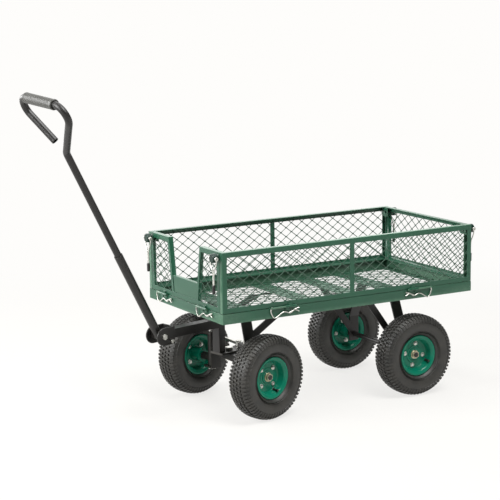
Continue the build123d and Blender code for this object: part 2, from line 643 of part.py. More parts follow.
def make_front_axle():
    """Beam with a yoke at each end, its kingpins and the drawbar's centre bolt."""
    low = GROUND + YOKE_BOTTOM
    high = GROUND + YOKE_TOP
    half_x = (FRONT_AXLE_X - YOKE_WIDTH / 2, FRONT_AXLE_X + YOKE_WIDTH / 2)
    beam_x = (FRONT_AXLE_X - BEAM_WIDTH / 2, FRONT_AXLE_X + BEAM_WIDTH / 2)
    beam = block(beam_x, (-YOKE_WEB_Y, YOKE_WEB_Y), (GROUND + BEAM_BOTTOM, GROUND + BEAM_TOP))
    pins = []
    for side in (-1, 1):
        web = sorted((side * (YOKE_WEB_Y - YOKE_STRAP / 2), side * (YOKE_WEB_Y + YOKE_STRAP / 2)))
        reach = sorted((side * (YOKE_WEB_Y - YOKE_STRAP / 2), side * (KINGPIN_Y + YOKE_REACH)))
        beam += block(half_x, web, (low, high))
        beam += block(half_x, reach, (low, low + YOKE_STRAP))
        beam += block(half_x, reach, (high - YOKE_STRAP, high))
        spot = (FRONT_AXLE_X, side * KINGPIN_Y)
        beam -= rod(KINGPIN_RADIUS + RUNNING_FIT, (*spot, low), (*spot, high))
        top = high + STRAP
        pins.append(bolt(KINGPIN_RADIUS, SLEEVE_RADIUS, (*spot, low), (*spot, top), BOLT_HEAD, NUT))
    low = GROUND + BEAM_BOTTOM
    beam -= rod(KINGPIN_RADIUS + RUNNING_FIT, (FRONT_AXLE_X, 0, low), (FRONT_AXLE_X, 0, GROUND + BEAM_TOP))
    top = STEER_PLATE_TOP + SIDE_CLEARANCE
    pins.append(bolt(KINGPIN_RADIUS, SLEEVE_RADIUS, (FRONT_AXLE_X, 0, low), (FRONT_AXLE_X, 0, top)))
    return beam, pins


def make_supports():
    """Bent straps that carry the front and rear axles, with their bolts under the slats."""
    top = TRAY_BOTTOM - STRAP / 2
    foot = GROUND + YOKE_TOP + STRAP / 2
    half = [(YOKE_WEB_Y, foot), (FRONT_FOOT_Y, foot), (FRONT_LEG_TOP_Y, top)]
    points = half + [(-y, z) for y, z in reversed(half)]
    bends = [STRAP_FOOT_BEND, STRAP_BEND, STRAP_BEND, STRAP_FOOT_BEND]
    front = bent_strap(points, bends, STRAP, STRAP_WIDTH, FRONT_AXLE_X)
    for side in (-1, 1):
        spot = (FRONT_AXLE_X, side * KINGPIN_Y)
        front -= rod(KINGPIN_RADIUS + RUNNING_FIT, (*spot, foot - STRAP), (*spot, foot + STRAP))
    tab_low = AXLE_Z - REAR_TAB_BELOW
    half = [(REAR_TAB_Y, tab_low), (REAR_TAB_Y, GROUND + REAR_TAB_TOP), (REAR_LEG_TOP_Y, top)]
    points = half + [(-y, z) for y, z in reversed(half)]
    rear = bent_strap(points, STRAP_BEND, STRAP, STRAP_WIDTH, REAR_AXLE_X)
    across = REAR_TAB_Y + STRAP
    rear -= rod(AXLE_RADIUS + RUNNING_FIT, (REAR_AXLE_X, -across, AXLE_Z), (REAR_AXLE_X, across, AXLE_Z))
    return front, rear


def make_braces():
    """Four flat braces: from the front legs to the front slat, and from the rear axle to the rear slat."""
    braces = []
    above = (TRAY_BOTTOM, TRAY_BOTTOM + TRAY_WIDTH)
    ceiling = block((-TRAY_LENGTH, TRAY_LENGTH), (-TRAY_WIDTH, TRAY_WIDTH), above)
    lean = math.atan2(FRONT_FOOT_Y - FRONT_LEG_TOP_Y, TRAY_BOTTOM - GROUND - YOKE_TOP - STRAP)
    front_y = FRONT_LEG_TOP_Y - STRAP / 2 / math.cos(lean)
    front_low = (GROUND + BRACE_LOW - TRAY_BOTTOM + STRAP / 2) / math.cos(lean)
    rear_y = REAR_TAB_Y - STRAP / 2
    for side in (-1, 1):
        leg = (FRONT_AXLE_X, side * front_y, TRAY_BOTTOM - STRAP / 2)
        inner_face = Plane(leg, x_dir=(1, 0, 0), z_dir=(0, -math.cos(lean), -side * math.sin(lean)))
        front = brace((BRACE_BACK, front_low), (BRACE_BACK + FRONT_BRACE_RUN, 0), side)
        along = (FRONT_AXLE_X + BRACE_BACK + FRONT_BRACE_RUN - BRACE_WIDTH / 2, FRONT_SLAT_X)
        across = sorted((side * front_y, side * (front_y - BRACE)))
        foot = block(along, across, (TRAY_BOTTOM - BRACE, TRAY_BOTTOM))
        braces.append(inner_face.location * front + foot - ceiling)
        leg = Plane((0, side * rear_y, 0), x_dir=(1, 0, 0), z_dir=(0, -1, 0))
        high = (REAR_SLAT_X + BRACE_WIDTH / 2, TRAY_BOTTOM)
        rear = leg.location * brace((REAR_AXLE_X, AXLE_Z), high, side)
        across = (REAR_AXLE_X, side * TRAY_WIDTH / 2, AXLE_Z)
        axle_hole = rod(AXLE_RADIUS + RUNNING_FIT, (REAR_AXLE_X, 0, AXLE_Z), across)
        braces.append(rear - axle_hole - ceiling)
    return braces


def brace(low, high, side):
    """Flat bar on a leg's inner face, with a round lower end and some length to spare at the upper end."""
    length = math.hypot(high[0] - low[0], high[1] - low[1])
    pitch = math.degrees(math.atan2(high[1] - low[1], high[0] - low[0]))
    thick = sorted((0, side * BRACE))
    half = BRACE_WIDTH / 2
    bar = block((0, length + BRACE_WIDTH), (-half, half), thick)
    return Pos(*low, 0) * Rot(0, 0, pitch) * (bar + rod(half, (0, 0, thick[0]), (0, 0, thick[1])))


def make_chassis_bolts(front, rear, slats):
    """Bolts that hold the supports to their slats."""
    bolts = []
    low = TRAY_BOTTOM - STRAP
    for x in (FRONT_AXLE_X, REAR_AXLE_X):
        for side in (-1, 1):
            spot = (x, side * CHASSIS_BOLT_Y)
            head = hexagon(CHASSIS_BOLT_HEAD, (*spot, low - BOLT_HEAD), (*spot, low))
            bolts.append(head + rod(CHASSIS_BOLT_RADIUS, (*spot, low), (*spot, SLAT_TOP)))
            hole = rod(CHASSIS_BOLT_RADIUS + RUNNING_FIT, (*spot, low), (*spot, SLAT_TOP))
            front -= hole
            rear -= hole
            slats = [slat - hole for slat in slats]
    return bolts, front, rear, slats


def make_rear_axle():
    """Through axle with a shoulder between each leg and hub, and its nuts."""
    tip = axle_end(REAR_HALF_TRACK)
    axle = rod(AXLE_RADIUS, (0, -tip, 0), (0, tip, 0))
    inner = REAR_TAB_Y + STRAP / 2
    outer = REAR_HALF_TRACK - HUB_INBOARD - SIDE_CLEARANCE
    for side in (-1, 1):
        axle += rod(AXLE_SHOULDER_RADIUS, (0, side * inner, 0), (0, side * outer, 0))
    place = Pos(REAR_AXLE_X, 0, AXLE_Z)
    return place * axle, [place * axle_nut(side, REAR_HALF_TRACK) for side in (-1, 1)]


def make_clevis():
    """Fork at the front of the drawbar: two cheeks with round noses and the plate behind them."""
    half = DRAWBAR_WIDTH / 2
    rear = -DRAWBAR_REACH + CLEVIS_DEPTH
    height = (PIVOT_Z - PIVOT_CHEEK, PIVOT_Z + PIVOT_CHEEK)
    clevis = block((rear - DRAWBAR_WALL, rear), (-half, half), height)
    for y in (-half, half - DRAWBAR_WALL):
        cheek = (y, y + DRAWBAR_WALL)
        clevis += block((-DRAWBAR_REACH, rear), cheek, height)
        clevis += rod(PIVOT_CHEEK, *[(-DRAWBAR_REACH, edge, PIVOT_Z) for edge in cheek])
    return clevis


def make_drawbar():
    """Clevis on its box bar, steering plate and bolts about the centre bolt, pointing straight ahead."""
    half = DRAWBAR_WIDTH / 2
    bar_half = BAR_WIDTH / 2
    top = PIVOT_Z + BAR_RISE
    plate_front = -DRAWBAR_REAR - DRAWBAR_LEG
    clevis_rear = -DRAWBAR_REACH + CLEVIS_DEPTH
    bar = block((clevis_rear, -DRAWBAR_REAR), (-bar_half, bar_half), (top - BAR_HEIGHT, top))
    leg = block((plate_front, -DRAWBAR_REAR), (-bar_half, bar_half), (STEER_PLATE_TOP, top))
    corner = (bar + leg).edges().filter_by(Axis.Y).group_by(Axis.Z)[-1].sort_by(Axis.X)[-1]
    inner = bar_half - DRAWBAR_WALL
    hollow = block((clevis_rear, plate_front), (-inner, inner), (top - BAR_HEIGHT, top - DRAWBAR_WALL))
    channel = make_clevis() + fillet(corner, BAR_CORNER) - hollow
    plate = block((plate_front, 0), (-half, half), (STEER_PLATE_BOTTOM, STEER_PLATE_TOP))
    plate += block((-SLEEVE_RADIUS, STEER_ARM), (-half, half), (STEER_PLATE_BOTTOM, STEER_PLATE_TOP))
    bolts = []
    for side in (-1, 1):
        tip = (STEER_ARM, side * STEER_ARM_OUT)
        plate += rod(TIE_EYE_RADIUS, (*tip, STEER_PLATE_BOTTOM), (*tip, STEER_PLATE_TOP))
        plate -= rod(TIE_PIN_RADIUS + RUNNING_FIT, (*tip, STEER_PLATE_BOTTOM), (*tip, STEER_PLATE_TOP))
        head = TIE_EYE_BOTTOM + TIE_EYE + SIDE_CLEARANCE
        pin = rod(TIE_PIN_RADIUS, (*tip, STEER_PLATE_BOTTOM), (*tip, head))
        bolts.append(pin + hexagon(TIE_EYE_RADIUS, (*tip, head), (*tip, head + BOLT_HEAD)))
    plate -= rod(KINGPIN_RADIUS + RUNNING_FIT, (0, 0, STEER_PLATE_BOTTOM), (0, 0, STEER_PLATE_TOP))
    pivot = (-DRAWBAR_REACH, PIVOT_Z)
    stop = (-DRAWBAR_REACH + STOP_BOLT_BACK, PIVOT_Z - STOP_BOLT_DROP)
    cross_bolts = ((pivot, PIVOT_BOLT_RADIUS, PIVOT_BOLT_HEAD), (stop, STOP_BOLT_RADIUS, CHASSIS_BOLT_HEAD))
    for (x, z), radius, head in cross_bolts:
        channel -= rod(radius + RUNNING_FIT, (x, -half, z), (x, half, z))
        bolts.append(bolt(radius, head, (x, -half, z), (x, half, z), BOLT_HEAD, BOLT_HEAD))
    return channel, plate, bolts


def make_tie_rod(side):
    """Rod with an eye at each end, from the drawbar pin at the origin out to the knuckle pin."""
    z = (TIE_EYE_BOTTOM, TIE_EYE_BOTTOM + TIE_EYE)
    far = side * KINGPIN_Y
    bar = rod(TIE_ROD_RADIUS, (0, 0, TIE_ROD_Z), (0, far, TIE_ROD_Z))
    for y in (0, far):
        bar += rod(TIE_EYE_RADIUS, (0, y, z[0]), (0, y, z[1]))
    bar -= rod(TIE_PIN_RADIUS + RUNNING_FIT, (0, 0, z[0]), (0, 0, z[1]))
    return bar - rod(TIE_PIN_RADIUS + OPEN_PIVOT_CLEARANCE, (0, far, z[0]), (0, far, z[1]))


def tube(points, bend, radius):
    """Bent round tube."""
    return bent_rod(points, bend, radius) - bent_rod(points, bend, radius - TUBE_WALL)


def make_handle():
    """Handle about its pivot, the shaft standing along Z: tubes, grip and bolts."""
    bush_half = DRAWBAR_WIDTH / 2 - DRAWBAR_WALL - BUSH_SIDE_GAP
    lower_bore = UPPER_TUBE_RADIUS + TUBE_SLIP
    lower = rod(LOWER_TUBE_RADIUS, (0, 0, 0), (0, 0, STEP_AT))
    lower -= rod(lower_bore, (0, 0, HANDLE_BUSH_RADIUS), (0, 0, STEP_AT))
    lower += rod(HANDLE_BUSH_RADIUS, (0, -bush_half, 0), (0, bush_half, 0))
    lower -= rod(PIVOT_BOLT_RADIUS + RUNNING_FIT, (0, -bush_half, 0), (0, bush_half, 0))
    lean = math.tan(math.radians(LOOP_HALF_ANGLE))
    corner = (LOOP_TOP - LOOP_START) * lean
    end_y = LOOP_END_GAP * math.sin(math.radians(LOOP_HALF_ANGLE))
    end_z = LOOP_START + LOOP_END_GAP * math.cos(math.radians(LOOP_HALF_ANGLE))
    points = [(0, 0, STEP_AT - TUBE_OVERLAP), (0, 0, LOOP_START), (0, -corner, LOOP_TOP)]
    points += [(0, corner, LOOP_TOP), (0, end_y, end_z)]
    upper = tube(points, [LOOP_KINK, LOOP_CORNER, LOOP_CORNER], UPPER_TUBE_RADIUS)
    grip = rod(GRIP_RADIUS, (0, -GRIP_HALF, LOOP_TOP), (0, GRIP_HALF, LOOP_TOP))
    grip -= rod(UPPER_TUBE_RADIUS + RUNNING_FIT, (0, -GRIP_HALF, LOOP_TOP), (0, GRIP_HALF, LOOP_TOP))
    roll = Rot(0, 0, LOOP_ROLL)
    upper = roll * upper
    grip = roll * grip
    bolts = []
    for share in (1, 3):
        z = STEP_AT - TUBE_OVERLAP + share * TUBE_OVERLAP / 4
        start = (0, -LOWER_TUBE_RADIUS, z)
        end = (0, LOWER_TUBE_RADIUS, z)
        hole = rod(HANDLE_BOLT_RADIUS + RUNNING_FIT, start, end)
        lower -= hole
        upper -= hole
        bolts.append(bolt(HANDLE_BOLT_RADIUS, HANDLE_BOLT_HEAD, start, end, WASHER, WASHER))
    return lower, upper, grip, bolts


def main():
    os.makedirs("parts", exist_ok=True)

    walls, ledges, floor, slats = make_tray()
    front, rear = make_supports()
    bolts, front, rear, slats = make_chassis_bolts(front, rear, slats)
    beam, pins = make_front_axle()
    axle, nuts = make_rear_axle()
    save("tray_frame", *make_panels(walls).values(), *ledges)
    save("floor_mesh", floor)
    save("floor_slats", *slats)
    save("front_support", front)
    save("rear_support", rear)
    save("braces", *make_braces())
    save("chassis_bolts", *bolts)
    save("front_axle_beam", beam)
    save("steering_pins", *pins)
    save("rear_axle", axle)
    save("rear_axle_nuts", *nuts)

    wheel = make_wheel()
    half_turn = {-1: Rot(0, 0, 0), 1: Rot(0, 0, 180)}
    for side, hand in ((-1, "left"), (1, "right")):
        spot = Pos(REAR_AXLE_X, side * REAR_HALF_TRACK, AXLE_Z)
        save_wheel(f"rear_{hand}", spot * half_turn[side], REAR_BOLT_ANGLE, wheel)
        steered = Pos(FRONT_AXLE_X, side * KINGPIN_Y, 0) * Rot(0, 0, STEER_REST)
        save(f"{hand}_knuckle", steered * make_knuckle(side))
        save(f"{hand}_axle_nut", steered * Pos(0, 0, AXLE_Z) * axle_nut(side, WHEEL_OFFSET))
        spot = steered * Pos(0, side * WHEEL_OFFSET, AXLE_Z)
        save_wheel(f"front_{hand}", spot * half_turn[side], FRONT_BOLT_ANGLE, wheel)
        steered = Pos(FRONT_AXLE_X, 0, 0) * Rot(0, 0, STEER_REST)
        tie_pin = steered * Pos(STEER_ARM, side * STEER_ARM_OUT, 0)
        save(f"{hand}_tie_rod", tie_pin * Rot(0, 0, -STEER_REST) * make_tie_rod(side))

    channel, plate, bolts = make_drawbar()
    steered = Pos(FRONT_AXLE_X, 0, 0) * Rot(0, 0, STEER_REST)
    save("drawbar_channel", steered * channel)
    save("steering_plate", steered * plate)
    save("drawbar_bolts", *[steered * piece for piece in bolts])

    lower, upper, grip, bolts = make_handle()
    raised = steered * Pos(-DRAWBAR_REACH, 0, PIVOT_Z) * Rot(0, HANDLE_REST - 90, 0)
    save("handle_lower_tube", raised * lower)
    save("handle_upper_tube", raised * upper)
    save("handle_grip", raised * grip)
    save("handle_bolts", *[raised * piece for piece in bolts])


main()
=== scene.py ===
# %% [markdown]
# # A garden trolley, finish by finish
# The imported CAD model is loaded first. It is the fixed frame: every piece made here lies in the same
# metres and rides on one of its bodies.
# The CAD box is kept at once, so that the dressed trolley can be measured against it at the end.

# %% Load the frame
import json
import math

import bmesh
import bpy
from mathutils import Matrix, Vector


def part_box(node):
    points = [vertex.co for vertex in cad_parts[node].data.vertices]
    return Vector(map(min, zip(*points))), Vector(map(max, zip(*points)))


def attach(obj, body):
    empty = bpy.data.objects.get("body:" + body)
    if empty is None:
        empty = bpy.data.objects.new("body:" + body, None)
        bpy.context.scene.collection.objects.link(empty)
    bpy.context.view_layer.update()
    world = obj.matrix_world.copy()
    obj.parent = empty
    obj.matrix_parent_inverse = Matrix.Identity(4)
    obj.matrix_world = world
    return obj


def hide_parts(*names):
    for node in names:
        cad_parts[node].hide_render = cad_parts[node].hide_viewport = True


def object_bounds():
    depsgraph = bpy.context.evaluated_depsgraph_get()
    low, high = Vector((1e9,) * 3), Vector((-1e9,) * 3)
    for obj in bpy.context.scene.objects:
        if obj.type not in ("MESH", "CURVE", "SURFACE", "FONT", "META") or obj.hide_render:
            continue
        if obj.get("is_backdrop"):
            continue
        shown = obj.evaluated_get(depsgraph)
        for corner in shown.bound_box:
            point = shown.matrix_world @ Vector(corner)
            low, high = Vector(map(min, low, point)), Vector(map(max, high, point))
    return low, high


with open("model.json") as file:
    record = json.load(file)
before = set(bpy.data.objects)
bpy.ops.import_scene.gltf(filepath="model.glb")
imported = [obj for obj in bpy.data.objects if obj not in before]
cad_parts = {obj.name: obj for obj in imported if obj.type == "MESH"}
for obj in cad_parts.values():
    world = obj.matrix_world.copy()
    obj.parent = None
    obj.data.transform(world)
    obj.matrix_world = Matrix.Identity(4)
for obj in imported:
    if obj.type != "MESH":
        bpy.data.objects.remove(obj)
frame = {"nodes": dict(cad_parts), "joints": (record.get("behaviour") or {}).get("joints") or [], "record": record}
CAD_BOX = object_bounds()
MM = 0.001
scene = bpy.context.scene
NODES = frame["nodes"]
BODY_OF = {node: body for body, nodes in frame["record"]["behaviour"]["bodies"].items() for node in nodes}
JOINTS = {joint["name"]: joint for joint in frame["joints"]}
print(len(NODES), "CAD nodes in", [[round(value, 3) for value in corner] for corner in CAD_BOX])

# %% [markdown]
# ## The camera
# The photograph was taken with a long lens from the front left, a little above the tray. The viewing
# angles below were fitted to points of the photograph. A camera looks along its own -Z axis, so its
# matrix has the axes right, up and back as columns.

# %% Place the camera
PHOTO_SIDE = 500
FOCAL_PIXELS = 1641.8
SENSOR = 36.0
VIEW_AZIMUTH = math.radians(-30.0145)
VIEW_HEIGHT = math.radians(10.2107)
VIEW_ROLL = math.radians(-0.7625)
VIEW_DISTANCE = 5.1007
VIEW_TARGET = Vector((-0.22287, 0.0, 0.16055))

back = Vector((
    math.sin(VIEW_AZIMUTH) * math.cos(VIEW_HEIGHT),
    -math.cos(VIEW_AZIMUTH) * math.cos(VIEW_HEIGHT),
    math.sin(VIEW_HEIGHT),
))
level_right = Vector((0, 0, 1)).cross(back).normalized()
level_up = back.cross(level_right)
right = level_right * math.cos(VIEW_ROLL) + level_up * math.sin(VIEW_ROLL)
up = level_up * math.cos(VIEW_ROLL) - level_right * math.sin(VIEW_ROLL)
lens = bpy.data.cameras.new("photo_camera")
lens.sensor_width = SENSOR
lens.lens = FOCAL_PIXELS / PHOTO_SIDE * SENSOR
camera = bpy.data.objects.new("photo_camera", lens)
turn = Matrix((right, up, back)).transposed().to_4x4()
camera.matrix_world = Matrix.Translation(VIEW_TARGET + back * VIEW_DISTANCE) @ turn
scene.collection.objects.link(camera)
scene.camera = camera
scene.view_settings.view_transform = "Standard"
print("camera with a", round(lens.lens, 1), "mm lens at", [round(value, 2) for value in camera.location])

# %% [markdown]
# ## Node trees
# Materials and Geometry Nodes are both trees of nodes. One small function adds a node, sets its
# options, and gives each input either a value or the socket that feeds it. Colours are written as the
# sRGB values that a paint chart shows, and Blender wants them linear, so one function turns them.

# %% Small helpers for trees and colours
def add(tree, kind, inputs=None, **settings):
    """One node with its settings; an input takes a value or the socket that feeds it."""
    node = tree.nodes.new(kind)
    for key, value in settings.items():
        setattr(node, key, value)
    for key, value in (inputs or {}).items():
        if isinstance(value, bpy.types.NodeSocket):
            tree.links.new(value, node.inputs[key])
        else:
            node.inputs[key].default_value = value
    return node


def work_out(tree, operation, *values):
    """Socket of one step of arithmetic on numbers or sockets."""
    return add(tree, "ShaderNodeMath", dict(enumerate(values)), operation=operation).outputs[0]


def linear(hex_colour):
    """Linear RGBA of an sRGB hex colour."""
    shares = [int(hex_colour[start:start + 2], 16) / 255 for start in (1, 3, 5)]
    return [s / 12.92 if s <= 0.04045 else ((s + 0.055) / 1.055) ** 2.4 for s in shares] + [1.0]


def per_mm(size):
    """Texture scale whose pattern repeats about every size millimetres."""
    return 1 / (size * MM)


def start_material(name):
    """New material with its tree, its shader and its Object coordinates."""
    material = bpy.data.materials.new(name)
    material.use_nodes = True
    tree = material.node_tree
    place = add(tree, "ShaderNodeTexCoord").outputs["Object"]
    return material, tree, tree.nodes["Principled BSDF"], place


print("paint chart check:", [round(value, 3) for value in linear("#808080")[:3]])

# %% [markdown]
# ## Colour, gloss and relief
# Three things make a surface look real: its colour comes in clouds, its gloss differs from place to
# place, and its skin has a fine relief. Small functions make them, and every material below uses them.

# %% Helpers for surfaces
def noise(tree, place, size, **details):
    """Cloudy value from 0 to 1, with clouds about size millimetres wide."""
    settings = {"Vector": place, "Scale": per_mm(size), **details}
    return add(tree, "ShaderNodeTexNoise", settings).outputs["Fac"]


def blend(tree, share, first, second):
    """Colour between two others; each is a linear colour or a socket."""
    return add(tree, "ShaderNodeMix", {0: share, 6: first, 7: second}, data_type="RGBA").outputs[2]


def stretch(tree, value, before, after, **settings):
    """Value stretched from one range to another."""
    ends = {1: before[0], 2: before[1], 3: after[0], 4: after[1]}
    return add(tree, "ShaderNodeMapRange", {0: value, **ends}, **settings).outputs[0]


def uneven(tree, value, roughness, spread):
    """Roughness that follows a value between two shares of the plain roughness."""
    return stretch(tree, value, (0.0, 1.0), [roughness * share for share in spread])


def dress(tree, shader, colour, gloss, height, strength, depth):
    """Links colour, roughness and relief to a shader; the relief's depth is in millimetres."""
    skin = add(tree, "ShaderNodeBump", {"Height": height, "Strength": strength, "Distance": depth * MM})
    tree.links.new(colour, shader.inputs["Base Color"])
    tree.links.new(gloss, shader.inputs["Roughness"])
    tree.links.new(skin.outputs["Normal"], shader.inputs["Normal"])


print("surface helpers: noise, blend, stretch, uneven, dress")

# %% [markdown]
# ## Sprayed steel
# Tray, panels, rims and running gear are mild steel with a sprayed and baked coat. Such a coat is never
# one flat colour: it is thicker in some places, its skin has a fine dimple like orange peel, and it
# rubs thin and pale along the edges. The dimple is really about a millimetre wide and is drawn coarser
# so that it shows. One function makes all the coats, because only colour and gloss differ.

# %% Sprayed coats
MOTTLE_MM = 70
PEEL_MM = 3
RUB_MM = 9
# How pointed an edge is where rubbing starts and where it is full, and the share of coat that it takes.
RUB_EDGE = (0.53, 0.62)
RUB_SHARE = 0.8
SATIN_SPREAD = (0.85, 1.2)
PEEL_STRENGTH = 0.12
PEEL_DEPTH = 0.2


def sprayed_steel(name, thick, thin, rubbed, roughness, ior):
    """Paint on steel: cloudy colour, dimpled skin and paler rubbed edges."""
    material, tree, shader, place = start_material(name)
    cloud = noise(tree, place, MOTTLE_MM, Detail=3.0)
    fresh = blend(tree, cloud, linear(thick), linear(thin))
    edge = add(tree, "ShaderNodeNewGeometry").outputs["Pointiness"]
    reach = stretch(tree, edge, RUB_EDGE, (0.0, RUB_SHARE))
    share = work_out(tree, "MULTIPLY", reach, noise(tree, place, RUB_MM, Detail=4.0))
    worn = blend(tree, share, fresh, linear(rubbed))
    gloss = uneven(tree, cloud, roughness, SATIN_SPREAD)
    dress(tree, shader, worn, gloss, noise(tree, place, PEEL_MM, Detail=2.0), PEEL_STRENGTH, PEEL_DEPTH)
    shader.inputs["IOR"].default_value = ior
    return material


# Powder coat: satin bottle green, soft broad highlights.
GREEN_COAT = sprayed_steel("green_powder_coat_on_steel", "#1a4935", "#21553e", "#6f9079", 0.3, 1.5)
# The same powder on the slit strands of the nets, painted darker for the shade on the strands' faces, and duller.
SHADED_NET_COAT = sprayed_steel("green_powder_coat_with_painted_shade_on_mesh", "#0f3023", "#143a2a", "#486a55", 0.36, 1.5)
# Stoved enamel on the pressed rims: a brighter, bluer green with sharp highlights.
RIM_ENAMEL = sprayed_steel("green_stoved_enamel_on_steel", "#06664f", "#0b7a60", "#2f8a6c", 0.22, 1.36)
# The same kind of enamel on the latch pins: dark green, painted nearly black for the shade on the knobs, with
# small sharp highlights.
SHADED_KNOB_ENAMEL = sprayed_steel("green_enamel_with_painted_shade_on_steel", "#08231b", "#0c2f24", "#2c5646", 0.3, 1.4)
# Satin black on running gear and handle: dark warm grey where the light rakes over it.
BLACK_COAT = sprayed_steel("satin_black_paint_on_steel", "#141312", "#1d1b19", "#5d5a54", 0.38, 1.5)
print("coats:", GREEN_COAT.name, SHADED_NET_COAT.name, RIM_ENAMEL.name, SHADED_KNOB_ENAMEL.name, BLACK_COAT.name)

# %% [markdown]
# ## Plated fasteners
# Bolts, clips and pull wires are zinc plated: a bright silver with a faint crystal spangle. The axle nuts
# are passivated, which turns the zinc a pale straw. Both are metals, so the colour is the reflection's
# colour and the IOR stays as it is.

# %% Zinc plate
SPANGLE_MM = 4
PIT_MM = 1.5
PLATE_SPREAD = (0.8, 1.25)
PIT_STRENGTH = 0.15
PIT_DEPTH = 0.1


def zinc_plate(name, dull, bright, roughness):
    """Plated steel with spangle and a slightly pitted skin."""
    material, tree, shader, place = start_material(name)
    spangle = add(tree, "ShaderNodeTexVoronoi", {"Vector": place, "Scale": per_mm(SPANGLE_MM)})
    tone = add(tree, "ShaderNodeSeparateColor", {"Color": spangle.outputs["Color"]}).outputs[0]
    colour = blend(tree, tone, linear(dull), linear(bright))
    gloss = uneven(tree, tone, roughness, PLATE_SPREAD)
    dress(tree, shader, colour, gloss, noise(tree, place, PIT_MM, Detail=3.0), PIT_STRENGTH, PIT_DEPTH)
    shader.inputs["Metallic"].default_value = 1.0
    return material


# Clear zinc: near-white metal with soft glints.
CLEAR_ZINC = zinc_plate("clear_zinc_plate_on_steel", "#c3c3bd", "#e2e1da", 0.34)
# Yellow passivated zinc: the same glints with a straw tint.
YELLOW_ZINC = zinc_plate("yellow_zinc_plate_on_steel", "#b3a68a", "#dcd5bf", 0.36)
print("plating:", CLEAR_ZINC.name, YELLOW_ZINC.name)

# %% [markdown]
# ## Rubber and vinyl
# The tyres are moulded carbon-black rubber: dark, dull, with a little dust that has settled in the skin.
# The grip is a vinyl tube, smoother and greyer, and the pull sleeves are the same vinyl in black.

# %% Moulded rubber and vinyl
DUST_MM = 35
GRAIN_MM = 1.6
DUST_REACH = (0.35, 0.75)
DULL_SPREAD = (0.85, 1.15)
GRAIN_DEPTH = 0.3
RUBBER_IOR = 1.52


def moulded_rubber(name, clean, dusty, roughness, grain):
    """Dull moulded skin: dust in clouds and a fine grain."""
    material, tree, shader, place = start_material(name)
    dust = noise(tree, place, DUST_MM, Detail=6.0, Roughness=0.65)
    colour = blend(tree, stretch(tree, dust, DUST_REACH, (0.0, 1.0)), linear(clean), linear(dusty))
    gloss = uneven(tree, dust, roughness, DULL_SPREAD)
    dress(tree, shader, colour, gloss, noise(tree, place, GRAIN_MM, Detail=4.0), grain, GRAIN_DEPTH)
    shader.inputs["IOR"].default_value = RUBBER_IOR
    return material


# Tyre rubber: charcoal with brownish dust, broad weak highlights.
TYRE_RUBBER = moulded_rubber("moulded_tyre_rubber", "#282826", "#3a3834", 0.5, 0.3)
# Grip vinyl: dark grey and smooth, with a long soft highlight along the tube.
GRIP_VINYL = moulded_rubber("dipped_grey_vinyl", "#343431", "#40403c", 0.4, 0.05)
# Sleeve vinyl: black and a little shiny.
SLEEVE_VINYL = moulded_rubber("moulded_black_vinyl", "#171615", "#23211f", 0.4, 0.12)
print("rubbers:", TYRE_RUBBER.name, GRIP_VINYL.name, SLEEVE_VINYL.name)

# %% [markdown]
# ## From mesh to piece
# Every shape ends as a plain mesh, either from a bmesh or from a short-lived object whose modifiers are
# worked out. The mesh then becomes one piece at the origin that rides on a body, with its material.
# Smooth shading with sharp edges kept suits pressed and turned steel.

# %% Hang a mesh on its body
SHARP_ANGLE = math.radians(47)


def to_mesh(shape, name, matrix=Matrix()):
    """Plain mesh of a bmesh, moved into place."""
    shape.transform(matrix)
    mesh = bpy.data.meshes.new(name)
    shape.to_mesh(mesh)
    shape.free()
    return mesh


def baked(holder):
    """Plain mesh that an object's modifiers or bevel give; the object itself is removed."""
    scene.collection.objects.link(holder)
    graph = bpy.context.evaluated_depsgraph_get()
    mesh = bpy.data.meshes.new_from_object(holder.evaluated_get(graph))
    bpy.data.objects.remove(holder)
    return mesh


def hang(name, mesh, body, material, *nodes):
    """Piece at the origin that rides on a body and stands for the named CAD nodes."""
    mesh.name = name
    if not mesh.materials:
        mesh.materials.append(material)
    if not mesh.has_custom_normals:
        mesh.shade_smooth()
        mesh.set_sharp_from_angle(angle=SHARP_ANGLE)
    piece = bpy.data.objects.new(name, mesh)
    scene.collection.objects.link(piece)
    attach(piece, body)
    if nodes:
        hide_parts(*nodes)
    return piece


# %% [markdown]
# ## Folded and cut steel
# A CAD solid has knife edges. Real sheet steel is folded, so the outside of a fold is round, and its
# cut edges are only broken. A copy of the CAD mesh is merged, its flat triangles are dissolved into
# whole faces, and a Bevel modifier works by edge weight: full width on folds, less on cut edges. A fold
# is told from a cut edge by its two neighbours: both faces are wide there, and a cut edge has the sheet's
# thickness on one side. A Weighted Normal modifier then lets the wide faces set the shading, so they look
# flat and only the narrow bevels turn the light.

# %% Round the folds and break the edges
FOLD_FACE = 8 * MM
FOLD_LENGTH = 25 * MM
MERGE = 0.01 * MM
FLAT_ANGLE = math.radians(0.5)
EDGE_ANGLE = math.radians(38)
FOLD_ROUNDS = 3
EDGE_ROUNDS = 2


def is_fold(edge):
    """Whether both faces beside an edge are wide enough to be the two legs of a fold."""
    length = edge.calc_length()
    if length < FOLD_LENGTH:
        return False
    return all(2 * face.calc_area() / length > FOLD_FACE for face in edge.link_faces)


def modified(mesh, kind, **settings):
    """Plain mesh that one modifier makes of another."""
    holder = bpy.data.objects.new("holder", mesh)
    modifier = holder.modifiers.new("step", kind)
    for key, value in settings.items():
        setattr(modifier, key, value)
    return baked(holder)


